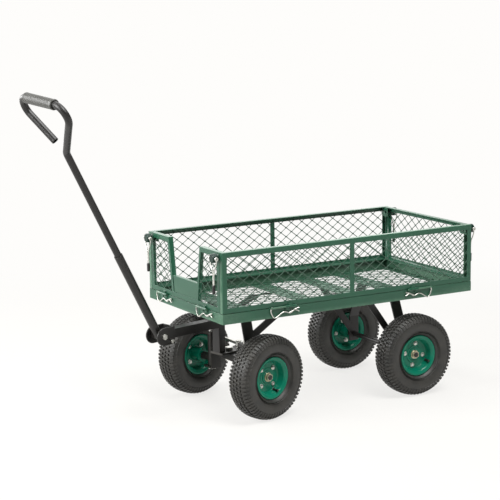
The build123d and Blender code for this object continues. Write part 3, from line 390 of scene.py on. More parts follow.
def softened(node, material, cut_edge, fold=0.0):
    """Copy of a CAD node with rounded folds and broken edges; sizes in millimetres."""
    shape = bmesh.new()
    shape.from_mesh(NODES[node].data)
    bmesh.ops.remove_doubles(shape, verts=shape.verts, dist=MERGE)
    bmesh.ops.dissolve_limit(shape, angle_limit=FLAT_ANGLE, verts=shape.verts, edges=shape.edges)
    bmesh.ops.triangulate(shape, faces=shape.faces, ngon_method="EAR_CLIP")
    weight = shape.edges.layers.float.new("bevel_weight_edge")
    width = max(fold, cut_edge)
    for edge in shape.edges:
        if len(edge.link_faces) == 2 and edge.is_convex and edge.calc_face_angle() > EDGE_ANGLE:
            edge[weight] = 1.0 if fold and is_fold(edge) else cut_edge / width
    mesh = to_mesh(shape, node)
    mesh.materials.append(material)
    rounds = FOLD_ROUNDS if fold else EDGE_ROUNDS
    bevelled = modified(mesh, "BEVEL", limit_method="WEIGHT", width=width * MM, segments=rounds,
                        use_clamp_overlap=False)
    bevelled.shade_smooth()
    bevelled.set_sharp_from_angle(angle=SHARP_ANGLE)
    result = modified(bevelled, "WEIGHTED_NORMAL", keep_sharp=True)
    hang(f"{node}_finished", result, BODY_OF[node], material, node)
    return len(result.polygons)


print("steel tools: is_fold, modified, softened")

# %% [markdown]
# ## Tray and panel frames
# Angle iron, folded from sheet about 2.5 mm thick, so the outside of each fold has a radius near that.

# %% Tray, slats and panel frames
FOLD_RADIUS = 2.4
SHEET_EDGE = 0.6
PLATE_FOLD = 1.6
count = softened("tray_frame", GREEN_COAT, SHEET_EDGE, FOLD_RADIUS)
count += softened("floor_slats", GREEN_COAT, SHEET_EDGE)
count += softened("front_panel_plate", GREEN_COAT, SHEET_EDGE, PLATE_FOLD)
SIDES = ("left", "right", "front", "rear")
for side in SIDES:
    count += softened(f"{side}_panel_frame", GREEN_COAT, SHEET_EDGE, FOLD_RADIUS)
print("tray and panel frames:", count, "faces")

# %% [markdown]
# ## Running gear
# Bent strap, plate and bar, all cut from thicker steel with edges broken by about a millimetre, and the
# turned and hexagonal fasteners with their small chamfers.

# %% Black steel and fasteners
STRAP_EDGE = 1.2
FASTENER_EDGE = 0.6
count = 0
for node in ("front_support", "rear_support", "braces", "front_axle_beam", "rear_axle", "drawbar_channel",
             "steering_plate", "left_knuckle", "right_knuckle"):
    count += softened(node, BLACK_COAT, STRAP_EDGE)
for node in ("handle_lower_tube", "handle_upper_tube", "handle_bolts"):
    count += softened(node, BLACK_COAT, FASTENER_EDGE)
for node in ("chassis_bolts", "steering_pins", "drawbar_bolts", "left_tie_rod", "right_tie_rod"):
    count += softened(node, CLEAR_ZINC, FASTENER_EDGE)
for node in ("rear_axle_nuts", "left_axle_nut", "right_axle_nut"):
    count += softened(node, YELLOW_ZINC, FASTENER_EDGE)
print("running gear:", count, "faces")

# %% [markdown]
# ## Expanded mesh
# Floor and panels are filled with expanded steel: a sheet is slit and pulled, so its strands run
# diagonally, each turned a little on its own axis, and meet in thicker bonds. The pattern is one cell
# repeated on two grids, the second shifted by half a cell, so Geometry Nodes suit it. The net is made
# larger than its window and then trimmed.

# %% Tools for Geometry Nodes
def new_tree(name, sizes):
    """Geometry tree with named inputs; returns the tree, its input sockets and its output node."""
    tree = bpy.data.node_groups.new(name, "GeometryNodeTree")
    for label, kind in sizes.items():
        tree.interface.new_socket(label, in_out="INPUT", socket_type=kind)
    tree.interface.new_socket("Geometry", in_out="OUTPUT", socket_type="NodeSocketGeometry")
    given = add(tree, "NodeGroupInput").outputs
    return tree, given, add(tree, "NodeGroupOutput")


def finish_tree(tree, output, instances, material):
    """Ends a tree with Realize Instances and Set Material."""
    real = add(tree, "GeometryNodeRealizeInstances", {0: instances})
    painted = add(tree, "GeometryNodeSetMaterial", {"Geometry": real.outputs[0], "Material": material})
    tree.links.new(painted.outputs[0], output.inputs[0])


def evaluate(tree, settings):
    """Plain mesh that a tree gives for the named settings."""
    holder = bpy.data.objects.new("holder", bpy.data.meshes.new("holder"))
    modifier = holder.modifiers.new("shape", "NODES")
    modifier.node_group = tree
    for item in tree.interface.items_tree:
        if item.in_out == "INPUT":
            modifier[item.identifier] = settings[item.name]
    return baked(holder)


def vector_of(tree, x=0.0, y=0.0, z=0.0):
    """Vector socket of three numbers or sockets."""
    return add(tree, "ShaderNodeCombineXYZ", {0: x, 1: y, 2: z}).outputs[0]


def moved(tree, geometry, **how):
    """Geometry that is shifted, turned or scaled."""
    return add(tree, "GeometryNodeTransform", {"Geometry": geometry, **how}).outputs[0]


print("tree tools: new_tree, finish_tree, evaluate, vector_of, moved")

# %% [markdown]
# ### One cell of the net
# Two strands cross in each cell, and a flat six-sided bond sits where they meet. The tree's inputs are
# the pitches, the strand and the sheet, so one tree serves floor and panels.

# %% Geometry Nodes tree of the net
BOND_WIDTH = 1.25
BOND_STRETCH = (1.7, 1.0, 1.15)


def net_cell(tree, given, cell):
    """Two crossing strands and their bond, about the origin."""
    diagonal = add(tree, "ShaderNodeVectorMath", {0: cell}, operation="LENGTH").outputs["Value"]
    reach = work_out(tree, "MULTIPLY", diagonal, 0.5)
    slope = work_out(tree, "ARCTAN2", given["Short pitch"], given["Long pitch"])
    section = vector_of(tree, reach, given["Strand"], given["Sheet"])
    strand = add(tree, "GeometryNodeMeshCube", {"Size": section}).outputs["Mesh"]
    cross = add(tree, "GeometryNodeJoinGeometry")
    for hand in (1, -1):
        turn = vector_of(tree, given["Strand turn"], 0.0, work_out(tree, "MULTIPLY", slope, hand))
        tree.links.new(moved(tree, strand, Rotation=turn), cross.inputs[0])
    radius = work_out(tree, "MULTIPLY", given["Strand"], BOND_WIDTH)
    bond = add(tree, "GeometryNodeMeshCylinder", {"Vertices": 6, "Radius": radius, "Depth": given["Sheet"]})
    tree.links.new(moved(tree, bond.outputs["Mesh"], Scale=BOND_STRETCH), cross.inputs[0])
    return cross.outputs[0]


def net_tree():
    """Net of crossing strands about the origin, in the XY plane."""
    number, length = "NodeSocketInt", "NodeSocketFloat"
    tree, given, output = new_tree("expanded_mesh", {
        "Columns": number, "Rows": number, "Long pitch": length, "Short pitch": length,
        "Strand": length, "Sheet": length, "Strand turn": length, "Steel": "NodeSocketMaterial",
    })
    cell = vector_of(tree, given["Long pitch"], given["Short pitch"])
    spans = []
    for pitch, steps in (("Long pitch", "Columns"), ("Short pitch", "Rows")):
        gaps = work_out(tree, "SUBTRACT", given[steps], 1.0)
        spans.append(work_out(tree, "MULTIPLY", gaps, given[pitch]))
    grid = add(tree, "GeometryNodeMeshGrid", {
        "Size X": spans[0], "Size Y": spans[1], "Vertices X": given["Columns"], "Vertices Y": given["Rows"],
    }).outputs["Mesh"]
    halves = {0: cell, 1: (0.5, 0.5, 0.0)}
    half_cell = add(tree, "ShaderNodeVectorMath", halves, operation="MULTIPLY").outputs[0]
    grids = add(tree, "GeometryNodeJoinGeometry")
    for points in (grid, moved(tree, grid, Translation=half_cell)):
        tree.links.new(points, grids.inputs[0])
    net = add(tree, "GeometryNodeInstanceOnPoints", {
        "Points": grids.outputs[0], "Instance": net_cell(tree, given, cell),
    })
    finish_tree(tree, output, net.outputs[0], given["Steel"])
    return tree


NET_TREE = net_tree()
print("net tree with", len(NET_TREE.nodes), "nodes")

# %% [markdown]
# ### Trimming the nets
# Each net lies where its plain CAD net lies. The window's four corners are read from that node, in the
# panel's own plane, which also gives the slanted posts beside the front notch. Cutting planes then trim
# the net, and the cut ends are capped.

# %% Nets of the floor and the panels
PANEL_PITCH = (40.8, 30.2)
FLOOR_PITCH = (48.8, 33.6)
STRAND = 1.8
STRAND_TURN = math.radians(24)
PANEL_SHEET = 1.6
FLOOR_SHEET = 1.3
# Cells beyond the window, so that a shifted net still fills it.
SPARE_CELLS = 3
# These nets were not cut from the middle of their sheet.
NET_SHIFT = {
    "left_panel_mesh": (-14.7, 0.9), "right_panel_mesh": (9.6, 9.0), "rear_panel_mesh": (-0.6, 3.0),
}
PLANES = {
    "floor_mesh": ((1, 0, 0), (0, 0, 1)),
    "left_panel_mesh": ((1, 0, 0), (0, -1, 0)),
    "right_panel_mesh": ((-1, 0, 0), (0, 1, 0)),
    "front_panel_mesh": ((0, -1, 0), (-1, 0, 0)),
    "rear_panel_mesh": ((0, 1, 0), (1, 0, 0)),
}


def plane_of(node):
    """Matrix from a net's own plane to the frame, with its origin in the middle of the node."""
    along, outward = (Vector(axis) for axis in PLANES[node])
    low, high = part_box(node)
    turn = Matrix((along, outward.cross(along), outward)).transposed().to_4x4()
    return Matrix.Translation((low + high) / 2) @ turn


def window_corners(points):
    """Four corners, anticlockwise, of the window that a plain net fills."""
    low = min(point.y for point in points)
    high = max(point.y for point in points)
    bottom = [point.x for point in points if point.y < low + MERGE]
    top = [point.x for point in points if point.y > high - MERGE]
    return [(min(bottom), low), (max(bottom), low), (max(top), high), (min(top), high)]


def trim(shape, corners):
    """Cuts a net off at the window's edges and caps the ends."""
    for (x0, y0), (x1, y1) in zip(corners, corners[1:] + corners[:1]):
        everything = shape.verts[:] + shape.edges[:] + shape.faces[:]
        bmesh.ops.bisect_plane(shape, geom=everything, dist=MERGE, plane_co=(x0, y0, 0),
                               plane_no=(y1 - y0, x0 - x1, 0), clear_outer=True)
        open_edges = [edge for edge in shape.edges if edge.is_boundary]
        bmesh.ops.holes_fill(shape, edges=open_edges, sides=0)


def expanded_net(node, pitch, sheet):
    """Net that stands for a plain CAD net; windows apart from each other are trimmed one by one."""
    plane = plane_of(node)
    points = [plane.inverted() @ vertex.co for vertex in NODES[node].data.vertices]
    reach = [max(abs(point[axis]) for point in points) / MM for axis in (0, 1)]
    counts = [2 * math.ceil(half / gap) + SPARE_CELLS for half, gap in zip(reach, pitch)]
    whole = evaluate(NET_TREE, {
        "Columns": counts[0], "Rows": counts[1], "Long pitch": pitch[0] * MM, "Short pitch": pitch[1] * MM,
        "Strand": STRAND * MM, "Sheet": sheet * MM, "Strand turn": STRAND_TURN, "Steel": SHADED_NET_COAT,
    })
    whole.transform(Matrix.Translation(Vector((*NET_SHIFT.get(node, (0, 0)), 0)) * MM))
    windows = [points]
    if node == "front_panel_mesh":
        windows = [[point for point in points if point.x * hand > 0] for hand in (-1, 1)]
    joined = bmesh.new()
    for window in windows:
        part = bmesh.new()
        part.from_mesh(whole)
        trim(part, window_corners(window))
        joined.from_mesh(to_mesh(part, "window"))
    mesh = to_mesh(joined, node, plane)
    mesh.materials.append(SHADED_NET_COAT)
    hang(f"{node}_expanded", mesh, BODY_OF[node], SHADED_NET_COAT, node)
    return len(mesh.polygons)


for node in PLANES:
    kind = (PANEL_PITCH, PANEL_SHEET) if "panel" in node else (FLOOR_PITCH, FLOOR_SHEET)
    print(node, expanded_net(node, *kind), "faces")

# %% [markdown]
# ## Turned and pressed shapes
# Tyres, rims, valves and the grip are round about an axis. A closed outline of radius and place along
# the axis is turned round the Y axis, with arcs wherever the outline bends. The function slerp swings one
# direction into another and gives a direction of length 1, so it is multiplied by the arc's radius.

# %% Lathe and outlines
def rounded(corners, steps):
    """Outline with an arc in each corner; a corner is (radius, place, fillet) in millimetres."""
    points = []
    for before, corner, after in zip(corners[-1:] + corners[:-1], corners, corners[1:] + corners[:1]):
        here = Vector(corner[:2])
        fillet = corner[2]
        if fillet == 0:
            points.append(here)
            continue
        to_before, to_after = ((Vector(other[:2]) - here).normalized() for other in (before, after))
        half = to_before.angle(to_after) / 2
        centre = here + (to_before + to_after).normalized() * fillet / math.sin(half)
        start, end = (here + way * fillet / math.tan(half) - centre for way in (to_before, to_after))
        for step in range(steps + 1):
            points.append(centre + start.slerp(end, step / steps) * fillet)
    return [(point.x, point.y) for point in points]


def arc(start, middle, end, steps):
    """Points of the circular arc through three points, without the last one."""
    (ax, ay), (bx, by), (cx, cy) = start, middle, end
    cross = 2 * (ax * (by - cy) + bx * (cy - ay) + cx * (ay - by))
    squares = (ax * ax + ay * ay, bx * bx + by * by, cx * cx + cy * cy)
    x = (squares[0] * (by - cy) + squares[1] * (cy - ay) + squares[2] * (ay - by)) / cross
    y = (squares[0] * (cx - bx) + squares[1] * (ax - cx) + squares[2] * (bx - ax)) / cross
    first = Vector((ax - x, ay - y))
    last = Vector((cx - x, cy - y))
    swung = [first.slerp(last, step / steps) * first.length for step in range(steps)]
    return [(x + point.x, y + point.y) for point in swung]


def lathe(shape, outline, steps):
    """Adds a closed outline turned round the Y axis to a bmesh."""
    rings = []
    for step in range(steps):
        angle = 2 * math.pi * step / steps
        spots = [(radius * math.sin(angle), y, radius * math.cos(angle)) for radius, y in outline]
        rings.append([shape.verts.new(Vector(spot) * MM) for spot in spots])
    faces = []
    for here, there in zip(rings, rings[1:] + rings[:1]):
        for corners in zip(here, here[1:] + here[:1], there[1:] + there[:1], there):
            faces.append(shape.faces.new(corners))
    bmesh.ops.recalc_face_normals(shape, faces=faces)


def turned_mesh(name, section, steps, matrix, corner_steps=3):
    """Plain mesh of a section with rounded corners, turned round the Y axis and moved into place."""
    shape = bmesh.new()
    lathe(shape, rounded(list(section), corner_steps), steps)
    return to_mesh(shape, name, matrix)


print("turning tools: rounded, arc, lathe, turned_mesh")

# %% [markdown]
# ## Where the wheels stand
# Every wheel has a spin joint in the record, so its centre and axis come from there. A wheel is made
# about the Y axis with its outer side towards -Y, as on the left of the trolley, and turned round for
# the right.

# %% Places of the wheels
WHEELS = [f"{end}_{hand}" for end in ("front", "rear") for hand in ("left", "right")]


def wheel_place(wheel):
    """Matrix from a wheel's own axes to the frame."""
    joint = JOINTS[f"{wheel}_wheel_spin"]
    inward = Vector(joint["axis"]).normalized()
    if wheel.endswith("right"):
        inward = -inward
    upward = Vector((0, 0, 1))
    turn = Matrix((inward.cross(upward), inward, upward)).transposed().to_4x4()
    return Matrix.Translation(joint["pos_m"]) @ turn


for wheel in WHEELS:
    print(wheel, [round(value, 3) for value in wheel_place(wheel).translation])

# %% [markdown]
# ## Tyres
# The tyre is a turned carcass with raised mould rings on its flanks. Its tread is one pitch of seven
# blocks, repeated round the wheel, so a Geometry Nodes tree turns that pitch about the axis. The outer
# blocks lap over the shoulder and run out on the flank; they give the tyre its toothed outline.

# %% Tread tree
TREAD_PITCHES = 64
TREAD_RADIUS = 130.0
BLOCK_DEPTH = 6.5
# Radii of a four-sided cone whose foot has sides of 1.
BLOCK_FOOT = 0.7071
BLOCK_TOP = 0.58
# Each row: place across the tread, drop below the crown, tilt, share of a pitch it is shifted, size.
# Rows off the middle come in pairs.
TREAD_ROWS = (
    (0.0, 0.0, 0.0, 0.0, (9.0, 7.4)),
    (13.0, 0.4, 5.0, 0.5, (9.0, 7.0)),
    (27.5, 4.6, 30.0, 0.0, (15.0, 7.6)),
    (32.0, 13.0, 62.0, 0.0, (15.0, 6.4)),
)


def tread_block(tree, given, across, drop, tilt, size):
    """One tapered block, laid at its place across the tread."""
    wide, long = size
    block = add(tree, "GeometryNodeMeshCone", {
        "Vertices": 4, "Radius Top": BLOCK_TOP, "Radius Bottom": BLOCK_FOOT, "Depth": 1.0,
    })
    squared = moved(tree, block.outputs["Mesh"], Rotation=(0, 0, math.pi / 4))
    sized = moved(tree, squared, Scale=vector_of(tree, long * MM, wide * MM, given["Depth"]))
    top = work_out(tree, "SUBTRACT", given["Radius"], drop * MM)
    foot = work_out(tree, "SUBTRACT", top, given["Depth"])
    spot = vector_of(tree, 0.0, across * MM, foot)
    return moved(tree, sized, Translation=spot, Rotation=(math.radians(-tilt), 0, 0))


def ring_of(tree, count, instance, first=0.0):
    """Copies of one thing, turned evenly about the Y axis."""
    points = add(tree, "GeometryNodePoints", {"Count": count}).outputs[0]
    index = add(tree, "GeometryNodeInputIndex").outputs[0]
    step = work_out(tree, "DIVIDE", 2 * math.pi, count)
    around = vector_of(tree, 0.0, work_out(tree, "MULTIPLY_ADD", index, step, first))
    settings = {"Points": points, "Instance": instance, "Rotation": around}
    return add(tree, "GeometryNodeInstanceOnPoints", settings).outputs[0]


def tread_tree():
    """Blocks of one pitch, repeated about the Y axis."""
    tree, given, output = new_tree("tread_blocks", {
        "Pitches": "NodeSocketInt", "Radius": "NodeSocketFloat", "Depth": "NodeSocketFloat",
        "Rubber": "NodeSocketMaterial",
    })
    step = work_out(tree, "DIVIDE", 2 * math.pi, given["Pitches"])
    one_pitch = add(tree, "GeometryNodeJoinGeometry")
    for across, drop, tilt, shift, size in TREAD_ROWS:
        spin = vector_of(tree, 0.0, work_out(tree, "MULTIPLY", step, shift))
        for hand in (1, -1) if across else (1,):
            block = tread_block(tree, given, hand * across, drop, hand * tilt, size)
            tree.links.new(moved(tree, block, Rotation=spin), one_pitch.inputs[0])
    ring = ring_of(tree, given["Pitches"], one_pitch.outputs[0])
    finish_tree(tree, output, ring, given["Rubber"])
    return tree


TREAD_TREE = tread_tree()
print("tread tree with", len(TREAD_TREE.nodes), "nodes")

# %% [markdown]
# ### The carcass
# Flank and crown are arcs. The flank runs from the bead beside the rim lip out to the widest place and
# back in to the shoulder; the crown lies below the tread by the depth of the grooves.

# %% Tyres
# Radius and place across of each point.
BEAD = (66.0, 25.0)
FLANK = (97.0, 40.6)
SHOULDER = (118.5, 33.0)
SHOULDER_BEND = (122.2, 28.0)
CROWN_EDGE = (124.0, 21.0)
CROWN = (125.4, 9.0)
SEAT = 56.0
FLANK_RINGS = ((74.0, 35.4), (78.0, 37.4), (110.0, 38.2))
RING_HEIGHT = 1.1
RING_ROOT = 2.4
RING_HALF = 1.6
ROUND_STEPS = 96
FLANK_STEPS = 14
SHOULDER_STEPS = 5


def tyre_mesh(matrix):
    """Carcass, mould rings and tread blocks as one mesh."""
    shape = bmesh.new()
    half = [(SEAT, BEAD[1])] + arc(BEAD, FLANK, SHOULDER, FLANK_STEPS)
    half += arc(SHOULDER, SHOULDER_BEND, CROWN_EDGE, SHOULDER_STEPS) + [CROWN_EDGE, CROWN]
    outline = half + [(radius, -y) for radius, y in reversed(half)]
    lathe(shape, outline, ROUND_STEPS)
    for radius, y in FLANK_RINGS:
        for hand in (-1, 1):
            root = hand * (y - RING_ROOT)
            crest = hand * (y + RING_HEIGHT)
            ring = [(radius - RING_HALF, root), (radius, crest), (radius + RING_HALF, root)]
            lathe(shape, ring, ROUND_STEPS)
    blocks = evaluate(TREAD_TREE, {
        "Pitches": TREAD_PITCHES, "Radius": TREAD_RADIUS * MM, "Depth": BLOCK_DEPTH * MM,
        "Rubber": TYRE_RUBBER,
    })
    shape.from_mesh(blocks)
    return to_mesh(shape, "tyre", matrix)


for wheel in WHEELS:
    mesh = tyre_mesh(wheel_place(wheel))
    tyre = hang(f"{wheel}_treaded_tyre", mesh, f"{wheel}_wheel", TYRE_RUBBER, f"{wheel}_tyre")
    print(tyre.name, len(tyre.data.polygons), "faces")

# %% [markdown]
# ## Rims, hubs and valves
# The rim is pressed from sheet in two dishes that are bolted back to back. Its wide lip is rolled over,
# the wall dips to a flat disc, and a shallow rib stiffens the disc. The hub tube is welded in and wears
# the same enamel. A black valve stands in the wall.

# %% Rims
RIM_SECTION = (
    (65.5, 24.6, 0.8), (65.5, 28.6, 2.6), (60.0, 28.6, 5.0), (51.5, 23.0, 7.0), (46.0, 3.2, 3.0),
    (39.5, 2.5, 2.0), (28.5, 2.5, 1.2), (27.0, 4.2, 1.2), (21.1, 4.2, 0.6),
)
RIM_BACK = ((48.0, 10.0, 1.0), (55.0, 18.0, 2.0), (55.0, 24.6, 1.5))
VALVE_CIRCLE = 47.5
VALVE_SECTION = (
    (4.6, 0.0, 0.4), (4.6, 3.0, 0.8), (3.2, 6.0, 0.8), (3.2, 14.0, 0.3), (3.6, 14.6, 0.3), (3.6, 21.0, 1.0),
    (0.4, 21.0, 0.0), (0.4, 0.0, 0.0),
)
VALVE_STEPS = 20
VALVE_FOOT = -7.0
VALVE_ANGLE = {"front": math.radians(153), "rear": math.radians(119)}
OUTWARD = Matrix.Rotation(math.pi, 4, "X")


def mirrored(half):
    """Section on both sides of the wheel's middle plane."""
    return list(half) + [(radius, -y, fillet) for radius, y, fillet in reversed(half)]


for wheel in WHEELS:
    place = wheel_place(wheel)
    mesh = turned_mesh("rim", mirrored(RIM_BACK + RIM_SECTION), ROUND_STEPS, place, 4)
    rim = hang(f"{wheel}_pressed_rim", mesh, f"{wheel}_wheel", RIM_ENAMEL, f"{wheel}_rim")
    softened(f"{wheel}_hub", RIM_ENAMEL, FASTENER_EDGE)
    angle = VALVE_ANGLE[wheel.split("_")[0]]
    spot = Vector((math.sin(angle) * VALVE_CIRCLE, VALVE_FOOT, math.cos(angle) * VALVE_CIRCLE)) * MM
    matrix = place @ Matrix.Translation(spot) @ OUTWARD
    valve = turned_mesh("valve", VALVE_SECTION, VALVE_STEPS, matrix)
    hang(f"{wheel}_valve", valve, f"{wheel}_wheel", SLEEVE_VINYL)
    print(rim.name, len(rim.data.polygons), "faces")

# %% [markdown]
# ### Rim bolts
# Four zinc bolts hold the two dishes together, heads outside and nuts inside. One bolt is built from
# simple primitives in a tree, with a washer, a chamfered hexagon and a domed tip, and repeated on the
# bolt circle.

# %% Rim bolts
BOLT_COUNT = 4
BOLT_CIRCLE = 35.0
BOLT_FIRST = {"front": math.radians(45), "rear": math.radians(10)}
# Stacked shapes of one bolt: sides, lower radius, upper radius, from, to; the axis points outward.
BOLT_STACK = (
    (24, 7.2, 7.0, 2.4, 3.6), (6, 6.2, 6.2, 3.6, 6.6), (6, 6.2, 4.8, 6.6, 7.8),
    (24, 7.2, 7.0, -2.4, -3.6), (6, 6.2, 6.2, -3.6, -8.4), (6, 6.2, 5.0, -8.4, -9.6),
    (16, 3.4, 2.4, -9.6, -11.0),
)


def bolt_ring_tree():
    """Bolts on a circle about the Y axis, their heads towards -Y."""
    tree, given, output = new_tree("bolt_circle", {
        "Count": "NodeSocketInt", "Circle": "NodeSocketFloat", "First angle": "NodeSocketFloat",
        "Zinc": "NodeSocketMaterial",
    })
    one_bolt = add(tree, "GeometryNodeJoinGeometry")
    for sides, low_radius, high_radius, low, high in BOLT_STACK:
        part = add(tree, "GeometryNodeMeshCone", {
            "Vertices": sides, "Radius Bottom": low_radius * MM, "Radius Top": high_radius * MM,
            "Depth": abs(high - low) * MM,
        })
        flip = math.pi / 2 if high > low else -math.pi / 2
        laid = moved(tree, part.outputs["Mesh"], Rotation=(flip, 0, 0), Translation=(0, -low * MM, 0))
        tree.links.new(laid, one_bolt.inputs[0])
    carried = moved(tree, one_bolt.outputs[0], Translation=vector_of(tree, given["Circle"]))
    ring = ring_of(tree, given["Count"], carried, given["First angle"])
    finish_tree(tree, output, ring, given["Zinc"])
    return tree


BOLT_TREE = bolt_ring_tree()
for wheel in WHEELS:
    bolts = evaluate(BOLT_TREE, {
        "Count": BOLT_COUNT, "Circle": BOLT_CIRCLE * MM, "First angle": BOLT_FIRST[wheel.split("_")[0]],
        "Zinc": CLEAR_ZINC,
    })
    bolts.transform(wheel_place(wheel))
    hang(f"{wheel}_zinc_rim_bolts", bolts, f"{wheel}_wheel", CLEAR_ZINC, f"{wheel}_rim_bolts")
print("rim bolts:", BOLT_COUNT * len(WHEELS))

# %% [markdown]
# ## The grip
# A vinyl tube pushed over the bar of the loop, a little thicker at its ends and rolled over there. Its
# place and direction come from the CAD node: the long way of its points is the bar's axis.

# %% Grip
GRIP_SECTION = (
    (10.6, 77.5, 0.5), (14.2, 77.5, 1.5), (15.75, 74.5, 2.0), (15.3, 66.0, 8.0), (15.1, -66.0, 8.0),
    (15.75, -74.5, 2.0), (14.2, -77.5, 1.5), (10.6, -77.5, 0.5),
)
GRIP_STEPS = 48
END_REACH = 40 * MM


def turn_to(direction, side="Z"):
    """Matrix that turns the Y axis into a direction."""
    return direction.to_track_quat("Y", side).to_matrix().to_4x4()


corners = [vertex.co for vertex in NODES["handle_grip"].data.vertices]
middle = sum(corners, Vector()) / len(corners)
far = max(corners, key=lambda point: (point - middle).length)
near = max(corners, key=lambda point: (point - far).length)
ends = [[point for point in corners if (point - tip).length < END_REACH] for tip in (near, far)]
centres = [sum(points, Vector()) / len(points) for points in ends]
axis = (centres[1] - centres[0]).normalized()
mesh = turned_mesh("grip", GRIP_SECTION, GRIP_STEPS, Matrix.Translation(middle) @ turn_to(axis), 5)
hang("vinyl_grip", mesh, "handle", GRIP_VINYL, "handle_grip")
print("grip along", [round(value, 3) for value in axis])

# %% [markdown]
# ## Latches and their pulls
# Each corner latch is a turned pin with a thick knob, in dark enamel. A wire pull with a black vinyl
# sleeve straddles the knob, and its two strands close up below. The wire is a curve with a round bevel,
# which keeps it smooth close up. A crimped eyelet holds each strand to the knob.

# %% Latch pins and pulls
PULL_WIRE = 1.9
SLEEVE_SECTION = (
    (0.3, 0.0, 0.0), (4.2, 0.0, 0.8), (5.0, 3.0, 1.5), (4.8, 24.0, 1.5), (4.0, 27.0, 1.0), (0.3, 27.0, 0.0),
)
EYE_HALF = 19.0
EYELET_SECTION = ((1.6, -2.6, 0.3), (5.8, -2.6, 1.2), (5.8, 2.6, 1.2), (1.6, 2.6, 0.3))
WIRE_DROP = 80.0
# Half of one pull's route, as places beside and below the eye: from inside the sleeve up into the knob.
HALF_ROUTE = (
    (2.0, WIRE_DROP + 8), (2.0, WIRE_DROP), (2.4, WIRE_DROP / 2), (EYE_HALF - 2, 20.0), (EYE_HALF, 0.0),
    (EYE_HALF - 5, 0.0),
)
DOWN = Vector((0, 0, -1))
TURNED_STEPS = 24


def wire_mesh(points, radius):
    """Round wire along a smooth curve."""
    path = bpy.data.curves.new("wire", "CURVE")
    path.dimensions = "3D"
    path.bevel_depth = radius
    path.bevel_resolution = 4
    path.resolution_u = 6
    path.use_fill_caps = True
    line = path.splines.new("NURBS")
    line.points.add(len(points) - 1)
    for spot, point in zip(line.points, points):
        spot.co = (*point, 1)
    line.order_u = 3
    line.use_endpoint_u = True
    return baked(bpy.data.objects.new("holder", path))


# Latches and wheels share their corner names.
for latch in WHEELS:
    softened(f"{latch}_latch_pin", SHADED_KNOB_ENAMEL, FASTENER_EDGE)
    joint = JOINTS[f"{latch}_pull_swing"]
    along = Vector(joint["axis"]).normalized()
    eye = Vector(joint["pos_m"])
    route = [(-u, v) for u, v in HALF_ROUTE] + list(reversed(HALF_ROUTE))
    points = [eye + along * (u * MM) + DOWN * (v * MM) for u, v in route]
    pull = bmesh.new()
    pull.from_mesh(wire_mesh(points, PULL_WIRE * MM))
    for hand in (-1, 1):
        place = Matrix.Translation(eye + along * (hand * EYE_HALF * MM)) @ turn_to(along)
        pull.from_mesh(turned_mesh("eyelet", EYELET_SECTION, TURNED_STEPS, place))
    hang(f"{latch}_pull_wire", to_mesh(pull, "pull"), f"{latch}_pull", CLEAR_ZINC, f"{latch}_latch_pull")
    place = Matrix.Translation(eye + DOWN * (WIRE_DROP * MM)) @ turn_to(DOWN, "X")
    sleeve = turned_mesh("sleeve", SLEEVE_SECTION, TURNED_STEPS, place)
    hang(f"{latch}_pull_sleeve", sleeve, f"{latch}_pull", SLEEVE_VINYL)
print("latches:", len(WHEELS))

# %% [markdown]
# ## Rolled edge of the tray
# A bead is rolled along the inside of the apron's top edge, just under the panels' bottom flanges. It
# stiffens the wall, and it closes the seam to the eye: without it daylight would show between the two.

# %% Rolled edge
BEAD_RADIUS = 2.2
BEAD_CREST = 0.5
APRON_TOP = 26.0
WALL = 2.5
# Half the bead's length and the distance of the wall's outer face from the middle of the tray.
SIDE_WALL = (452.0, 238.0)
END_WALL = (235.0, 455.0)
WALLS = {"left": SIDE_WALL, "right": SIDE_WALL, "front": END_WALL, "rear": END_WALL}

beads = bmesh.new()
for side, (half_length, face) in WALLS.items():
    along, outward = (Vector(axis) for axis in PLANES[f"{side}_panel_mesh"])
    line = outward * (face - WALL - BEAD_RADIUS) + Vector((0, 0, APRON_TOP + BEAD_CREST - BEAD_RADIUS))
    points = [(line + along * (share * half_length)) * MM for share in (-1, 0, 1)]
    beads.from_mesh(wire_mesh(points, BEAD_RADIUS * MM))
hang("tray_rolled_edge", to_mesh(beads, "beads"), BODY_OF["tray_frame"], GREEN_COAT)
print("rolled edges:", len(WALLS))

# %% [markdown]
# ## Hinge pins and spring clips
# The pins were sprayed together with the tray. Their CAD solids are already right, so that node stays and
# only takes its finish. A clip of bright wire keeps each pin in: it goes through a cross hole at the pin's
# end, waves along the apron and ends in two spread tips. Each clip is two smooth curves in the plane of its
# hinge line, which comes from the panel's joint.

# %% Hinge pins and spring clips
CLIP_WIRE = 1.9
# Places along and above the hinge line, from the cross hole to the tip.
CLIP_ROUTE = (
    (-3, 3), (3.5, -5), (1.5, -14), (-9, -33.5), (-27, -22.5),
    (-45, -12), (-66, -23), (-80, -9.5), (-97, -7),
)
CLIP_TIP = ((-60, -20), (-74, -14.5), (-84, -10.5), (-96.5, -18.5))
# Hinges of each panel: place along it, which way the pin points, and how far.
SIDE_HINGES = ((-225, -1, 67), (225, 1, 67))
END_HINGES = ((-130, -1, 45), (130, -1, 45))

